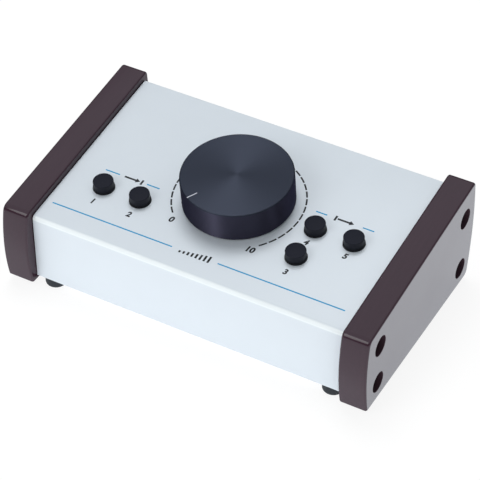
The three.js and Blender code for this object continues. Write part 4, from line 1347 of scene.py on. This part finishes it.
def make_lines(sizes):
    """The coloured front line and the dashes beside the button groups."""
    rows = ((sizes.front_line_up, sizes.front_line_ends), (sizes.input_dash_up, sizes.input_dash_ends),
            (sizes.output_dash_up, sizes.output_dash_ends))
    return [strip([(start, up), (end, up)], sizes.line, sizes.film)
            for up, ends in rows for start, end in (ends[:2], ends[2:])]


def make_scale(sizes):
    """The dashed scale: equal dashes of a circle about the knob's axis."""
    pitch = (sizes.arc_sweep + sizes.arc_gap) / sizes.dashes
    strips = []
    for dash in range(sizes.dashes):
        start = sizes.arc_start + dash * pitch
        turn = np.linspace(start, start + pitch - sizes.arc_gap, DASH_STEPS)
        line = ring_points(sizes.arc_radius, turn, 0.0)[:, :2] + (0.0, KNOB_UP)
        strips.append(strip(line, sizes.arc_line, sizes.film))
    return strips


def make_marks(sizes):
    """The black marks: rising bars under the knob, and an arrow into and out of a bar over the button
    groups."""
    return [*rising_bars(sizes), *arrow_and_bar(sizes.input_dash_ends, sizes.input_dash_up, True, sizes),
            *arrow_and_bar(sizes.output_dash_ends, sizes.output_dash_up, False, sizes)]


def rising_bars(sizes):
    """Upright bars side by side, whose heights grow evenly from the left to the right."""
    steps = sizes.bars - 1
    start = (sizes.front_line_ends[1] + sizes.front_line_ends[2]) / 2 - steps * sizes.bar_pitch / 2
    foot = sizes.front_line_up + sizes.mark_rise - sizes.bar_height / 2
    for step in range(sizes.bars):
        x = start + step * sizes.bar_pitch
        tip = foot + sizes.bar_low + (sizes.bar_height - sizes.bar_low) * step / steps
        yield strip([(x, foot), (x, tip)], sizes.bar_width, sizes.film)


def arrow_and_bar(ends, up, inward, sizes):
    """A bar midway between two dashes, with an arrow that points at it or away from it."""
    middle = (ends[1] + ends[2]) / 2
    half, head, tall = sizes.arrow_length / 2, sizes.arrow_head, sizes.arrow_tall / 2
    bar_x = middle + (half if inward else -half)
    tip = middle + half - (sizes.arrow_gap if inward else 0.0)
    tail = middle - half + (0.0 if inward else sizes.arrow_gap)
    return [
        strip([(bar_x, up - tall), (bar_x, up + tall)], sizes.bar_width, sizes.film),
        strip([(tail, up), (tip - head, up)], sizes.bar_width, sizes.film),
        slab([(tip - head, up - head * ARROW_SPREAD), (tip, up), (tip - head, up + head * ARROW_SPREAD)],
             sizes.film),
    ]


def make_figures(sizes):
    """The figures: each is drawn flat in the plain built-in face, made a mesh and then laid on the panel with
    its own height as the film's thickness."""
    for text, across, up, tall in figure_places(sizes):
        flat, blocks = figure_mesh(text)
        low, high = flat.min(axis=0), flat.max(axis=0)
        scale = tall / (high[1] - low[1])
        plan = (flat[:, :2] - (low + high)[:2] / 2) * scale
        lean = plan[:, 1] * sizes.lean
        film = np.where(flat[:, 2] > 0, sizes.film, 0.0)
        yield on_panel(plan[:, 0] + lean + across, plan[:, 1] + up, film), blocks


def figure_mesh(text):
    """Points and faces of a line of figures, as a slab one unit thick about height zero."""
    curve = bpy.data.curves.new("figure", "FONT")
    curve.body, curve.extrude = text, 0.5
    curve.offset, curve.resolution_u = STROKE_FULLNESS, CURVE_STEPS
    drawn = linked("figure", curve)
    mesh = final_mesh(drawn)
    points = np.zeros(len(mesh.vertices) * 3)
    mesh.vertices.foreach_get("co", points)
    blocks = [np.array(tuple(face.vertices))[None] for face in mesh.polygons]
    bpy.data.objects.remove(drawn)
    bpy.data.curves.remove(curve)
    bpy.data.meshes.remove(mesh)
    return points.reshape(-1, 3), blocks


def figure_places(sizes):
    """Each figure's text, place across and up the panel, and height: 0 and 10 past the scale's ends, and the
    buttons' own numbers below them."""
    low_end = sizes.arc_start + sizes.arc_sweep
    for text, turn in (("0", low_end + sizes.figure_past), ("10", sizes.arc_start - sizes.figure_past)):
        across, up = sizes.figure_radius * math.cos(turn), sizes.figure_radius * math.sin(turn)
        yield text, across, KNOB_UP + up, sizes.scale_figure
    for number, button in enumerate(BUTTONS, start=1):
        place = foot_on_panel(f"{button}_collar") - PANEL_CORNER
        drop = sizes.output_drop if button.startswith("output") else sizes.button_drop
        yield str(number), place[0], place @ UP_SLOPE - drop, sizes.button_figure


# Studio

SENSOR_MM = 36.0
CLIP_START, CLIP_END = 0.05, 50.0
FLOOR_REACH = 3.0
FLOOR_PAINT = (0.8, 0.8, 0.8)
SKY_TINT, REFLECTED_WHITE, WHITE = (0.95, 0.98, 1.0), (0.90, 0.94, 1.0), (1.0, 1.0, 1.0)
LAMP_AIM = mm(30)


def make_camera(studio):
    """The photograph's camera: pitch and yaw set where it looks, and roll turns it about that line."""
    pitch, yaw, roll = studio.pitch, studio.yaw, studio.roll
    ahead = Vector((-math.sin(yaw) * math.cos(pitch), math.cos(yaw) * math.cos(pitch), math.sin(pitch)))
    flat = Vector((math.cos(yaw), math.sin(yaw), 0.0))
    upright = flat.cross(ahead)
    right = flat * math.cos(roll) + upright * math.sin(roll)
    above = upright * math.cos(roll) - flat * math.sin(roll)
    camera = linked("studio_camera", bpy.data.cameras.new("studio_camera"))
    camera.data.lens, camera.data.sensor_width = studio.lens, SENSOR_MM
    camera.data.clip_start, camera.data.clip_end = CLIP_START, CLIP_END
    turn = Matrix((right, above, -ahead)).transposed().to_4x4()
    camera.matrix_world = Matrix.Translation(Vector(studio.camera)) @ turn
    bpy.context.scene.camera = camera


def cool_cast(tree):
    """The white of the studio: plain to the camera and faintly blue in reflections."""
    seen = add_node(tree, "LightPath").outputs["Is Camera Ray"]
    return blend_colours(tree, seen, REFLECTED_WHITE, WHITE)


def end_tree(tree, output, lit, seen):
    """Ends a tree in one shader for the light that falls on things, and one for rays that should see the
    plain white background: straight from the camera, off gloss or through glass."""
    path = add_node(tree, "LightPath").outputs
    straight = maths(tree, "MAXIMUM", path["Is Camera Ray"], path["Is Glossy Ray"])
    background = maths(tree, "MAXIMUM", straight, path["Is Transmission Ray"])
    choice = add_node(tree, "MixShader", {0: background, 1: lit.outputs[0], 2: seen.outputs[0]})
    add_node(tree, output, {"Surface": choice.outputs[0]})


def make_world(studio):
    """Even light from all round. Glossy surfaces see a studio that is white at the floor, dim above it and
    bright at the ceiling, and the camera sees it white down where it looks."""
    world = bpy.data.worlds.new("studio_world")
    bpy.context.scene.world = world
    tree = cleared_tree(world)
    way = add_node(tree, "TexCoord").outputs["Generated"]
    height = add_node(tree, "SeparateXYZ", {0: way}).outputs["Z"]
    fall = map_range(tree, height, start=0.0, end=0.12, low=1.0, high=studio.wall)
    climb = map_range(tree, height, start=0.5, end=0.76, low=0.0, high=studio.ceiling - studio.wall)
    lit = add_node(tree, "Background", {"Color": SKY_TINT, "Strength": studio.sky})
    strength = maths(tree, "ADD", fall, climb)
    seen = add_node(tree, "Background", {"Color": cool_cast(tree), "Strength": strength})
    end_tree(tree, "OutputWorld", lit, seen)


def glowing(tree, paint, light):
    """A matt surface that also gives light of its own."""
    matt = add_node(tree, "BsdfDiffuse", {"Color": paint})
    own = add_node(tree, "Emission", light)
    return add_node(tree, "AddShader", {0: matt.outputs[0], 1: own.outputs[0]})


def make_floor(studio):
    """A plain pale floor that keeps the object's shadow: where it is seen, part of its white is its own."""
    points = np.array([(-1.0, -1.0, 0.0), (1.0, -1.0, 0.0), (1.0, 1.0, 0.0), (-1.0, 1.0, 0.0)]) * FLOOR_REACH
    floor = add_piece("studio_floor", points, [np.arange(len(points))[None]])
    material = bpy.data.materials.new("pale floor")
    tree = cleared_tree(material)
    lit = glowing(tree, FLOOR_PAINT, {"Strength": studio.floor_bounce})
    seen = glowing(tree, (studio.floor_shade,) * 3, {"Strength": studio.floor_glow, "Color": cool_cast(tree)})
    end_tree(tree, "OutputMaterial", lit, seen)
    floor.data.materials.append(material)
    floor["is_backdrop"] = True


def add_lamp(name, azimuth, elevation, distance, size, brightness, *mirrors):
    """A round soft lamp aimed at the object. A white surface that faces it is lit to the given brightness,
    because the power is pi squared times the distance squared times the brightness. Where mirrors names
    pieces, the lamp is kept to their reflections."""
    lamp = linked(name, bpy.data.lights.new(name, "AREA"))
    lamp.data.shape, lamp.data.size = "DISK", size
    lamp.data.energy = (math.pi * distance) ** 2 * brightness
    flat = math.cos(elevation)
    way = Vector((math.cos(azimuth) * flat, math.sin(azimuth) * flat, math.sin(elevation)))
    lamp.location = Vector((0.0, 0.0, LAMP_AIM)) + way * distance
    lamp.rotation_mode = "QUATERNION"
    lamp.rotation_quaternion = way.to_track_quat("Z", "Y")
    if mirrors:
        lit = bpy.data.collections.new(f"{name}_pieces")
        for piece in mirrors:
            lit.objects.link(bpy.data.objects[piece])
        lamp.light_linking.receiver_collection = lit
        lamp.visible_diffuse = False
    return lamp


def make_lamps(studio):
    """An overhead lamp that is kept out of reflections, three lamps that only one piece mirrors, and a
    softbox."""
    far, near = studio.key_distance, studio.box_distance
    key = add_lamp("overhead_lamp", studio.key_azimuth, studio.key_elevation, far, studio.key_size,
                   studio.key)
    key.visible_glossy = False
    add_lamp("glint_lamp", studio.glint_azimuth, studio.key_elevation, far, studio.glint_size, studio.glint,
             "knob_body")
    add_lamp("stripe_lamp", studio.stripe_azimuth, studio.stripe_elevation, near, studio.stripe_size,
             studio.stripe, "knob_body")
    add_lamp("sheen_lamp", studio.sheen_azimuth, studio.sheen_elevation, far, studio.glint_size, studio.sheen,
             "cover_shell")
    add_lamp("side_softbox", studio.box_azimuth, studio.box_elevation, near, studio.box_size, studio.box)


# Operators

class CONTROLLER_OT_camera(bpy.types.Operator):
    """Place the camera at the photograph's view"""

    bl_idname = "controller.camera"
    bl_label = "Camera"
    bl_options = {"REGISTER", "UNDO"}

    def execute(self, context):
        make_camera(context.scene.controller.studio)
        return {"FINISHED"}


class CONTROLLER_OT_case(bpy.types.Operator):
    """Build the folded cover and tray"""

    bl_idname = "controller.case"
    bl_label = "Case"
    bl_options = {"REGISTER", "UNDO"}

    def execute(self, context):
        settings = context.scene.controller
        make_cover(settings)
        make_tray(settings)
        return {"FINISHED"}


class CONTROLLER_OT_cheeks(bpy.types.Operator):
    """Build the side cheeks and their screws"""

    bl_idname = "controller.cheeks"
    bl_label = "Cheeks"
    bl_options = {"REGISTER", "UNDO"}

    def execute(self, context):
        settings = context.scene.controller
        for side in SIDES:
            make_cheek(side, settings)
            make_screws(side, settings)
        return {"FINISHED"}


class CONTROLLER_OT_feet(bpy.types.Operator):
    """Build the rubber feet"""

    bl_idname = "controller.feet"
    bl_label = "Feet"
    bl_options = {"REGISTER", "UNDO"}

    def execute(self, context):
        settings = context.scene.controller
        for name in FEET:
            make_foot(name, settings)
        return {"FINISHED"}


class CONTROLLER_OT_knob(bpy.types.Operator):
    """Build the volume knob and its pointer"""

    bl_idname = "controller.knob"
    bl_label = "Volume knob"
    bl_options = {"REGISTER", "UNDO"}

    def execute(self, context):
        make_knob(context.scene.controller)
        return {"FINISHED"}


class CONTROLLER_OT_buttons(bpy.types.Operator):
    """Build the push buttons with their collars and springs"""

    bl_idname = "controller.buttons"
    bl_label = "Buttons"
    bl_options = {"REGISTER", "UNDO"}

    def execute(self, context):
        settings = context.scene.controller
        for name in BUTTONS:
            make_button(name, settings)
        return {"FINISHED"}


class CONTROLLER_OT_sockets(bpy.types.Operator):
    """Build the jack sockets and their nuts"""

    bl_idname = "controller.sockets"
    bl_label = "Sockets"
    bl_options = {"REGISTER", "UNDO"}

    def execute(self, context):
        settings = context.scene.controller
        for name in SOCKET_PAIRS:
            make_sockets(name, settings)
        return {"FINISHED"}


class CONTROLLER_OT_printing(bpy.types.Operator):
    """Print the lines, the scale, the marks and the figures on the panel"""

    bl_idname = "controller.printing"
    bl_label = "Printing"
    bl_options = {"REGISTER", "UNDO"}

    def execute(self, context):
        settings = context.scene.controller
        sizes = settings.printing
        print_piece("blue_guide_lines", make_lines(sizes), ink("blue ink", settings.colours.blue_ink))
        black = ink("black ink", settings.colours.black_ink)
        print_piece("dashed_scale", make_scale(sizes), black)
        print_piece("black_marks", make_marks(sizes), black)
        print_piece("black_figures", list(make_figures(sizes)), black)
        return {"FINISHED"}


class CONTROLLER_OT_inside(bpy.types.Operator):
    """Give the parts inside the box their finishes"""

    bl_idname = "controller.inside"
    bl_label = "Inside"
    bl_options = {"REGISTER", "UNDO"}

    def execute(self, context):
        colours = context.scene.controller.colours
        plated = metal_material("plated steel", colours.plated, roughness=0.35)
        black = speckled("black housing", colours.housing, grain=0.3, spread=0.15)
        board = board_material("circuit board", colours)
        finishes = {"pot_shaft": plated, "pot_body": plated, "pot_nut": plated, "control_board": board,
                    "jack_board": board, "ribbon_cable": ribbon_material("flat cable", colours)}
        for name in BUTTONS:
            finishes[f"{name}_plunger"] = finishes[f"{name}_switch"] = black
        for node, material in finishes.items():
            dress(frame["nodes"][node].data, material)
        return {"FINISHED"}


class CONTROLLER_OT_studio(bpy.types.Operator):
    """Set up the floor, the world and the lamps"""

    bl_idname = "controller.studio"
    bl_label = "Studio"
    bl_options = {"REGISTER", "UNDO"}

    def execute(self, context):
        studio = context.scene.controller.studio
        make_world(studio)
        make_floor(studio)
        make_lamps(studio)
        context.scene.view_settings.view_transform = "Standard"
        return {"FINISHED"}


class CONTROLLER_PT_sidebar(bpy.types.Panel):
    """Lists the steps that build the controller"""

    bl_label = "Monitor controller"
    bl_idname = "CONTROLLER_PT_sidebar"
    bl_space_type = "VIEW_3D"
    bl_region_type = "UI"
    bl_category = "Controller"

    def draw(self, context):
        for operator in OPERATORS:
            self.layout.operator(operator.bl_idname)


SETTINGS = (CaseSizes, CheekSizes, KnobSizes, ButtonSizes, SocketSizes, FootSizes, PrintSizes, FinishColours,
            StudioSettings, ControllerSettings)
OPERATORS = (CONTROLLER_OT_camera, CONTROLLER_OT_case, CONTROLLER_OT_cheeks, CONTROLLER_OT_feet,
             CONTROLLER_OT_knob, CONTROLLER_OT_buttons, CONTROLLER_OT_sockets, CONTROLLER_OT_printing,
             CONTROLLER_OT_inside, CONTROLLER_OT_studio)
CLASSES = (*SETTINGS, *OPERATORS, CONTROLLER_PT_sidebar)


def register():
    for each in CLASSES:
        bpy.utils.register_class(each)
    bpy.types.Scene.controller = bpy.props.PointerProperty(type=ControllerSettings)


def unregister():
    del bpy.types.Scene.controller
    for each in reversed(CLASSES):
        bpy.utils.unregister_class(each)


def main():
    """Builds the controller in order."""
    register()
    for operator in OPERATORS:
        group, name = operator.bl_idname.split(".")
        getattr(getattr(bpy.ops, group), name)()
    boxes = {"cad": CAD_BOX, "visual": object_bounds()}
    {name: [list(corner) for corner in box] for name, box in boxes.items()}


if __name__ == "__main__":
    main()
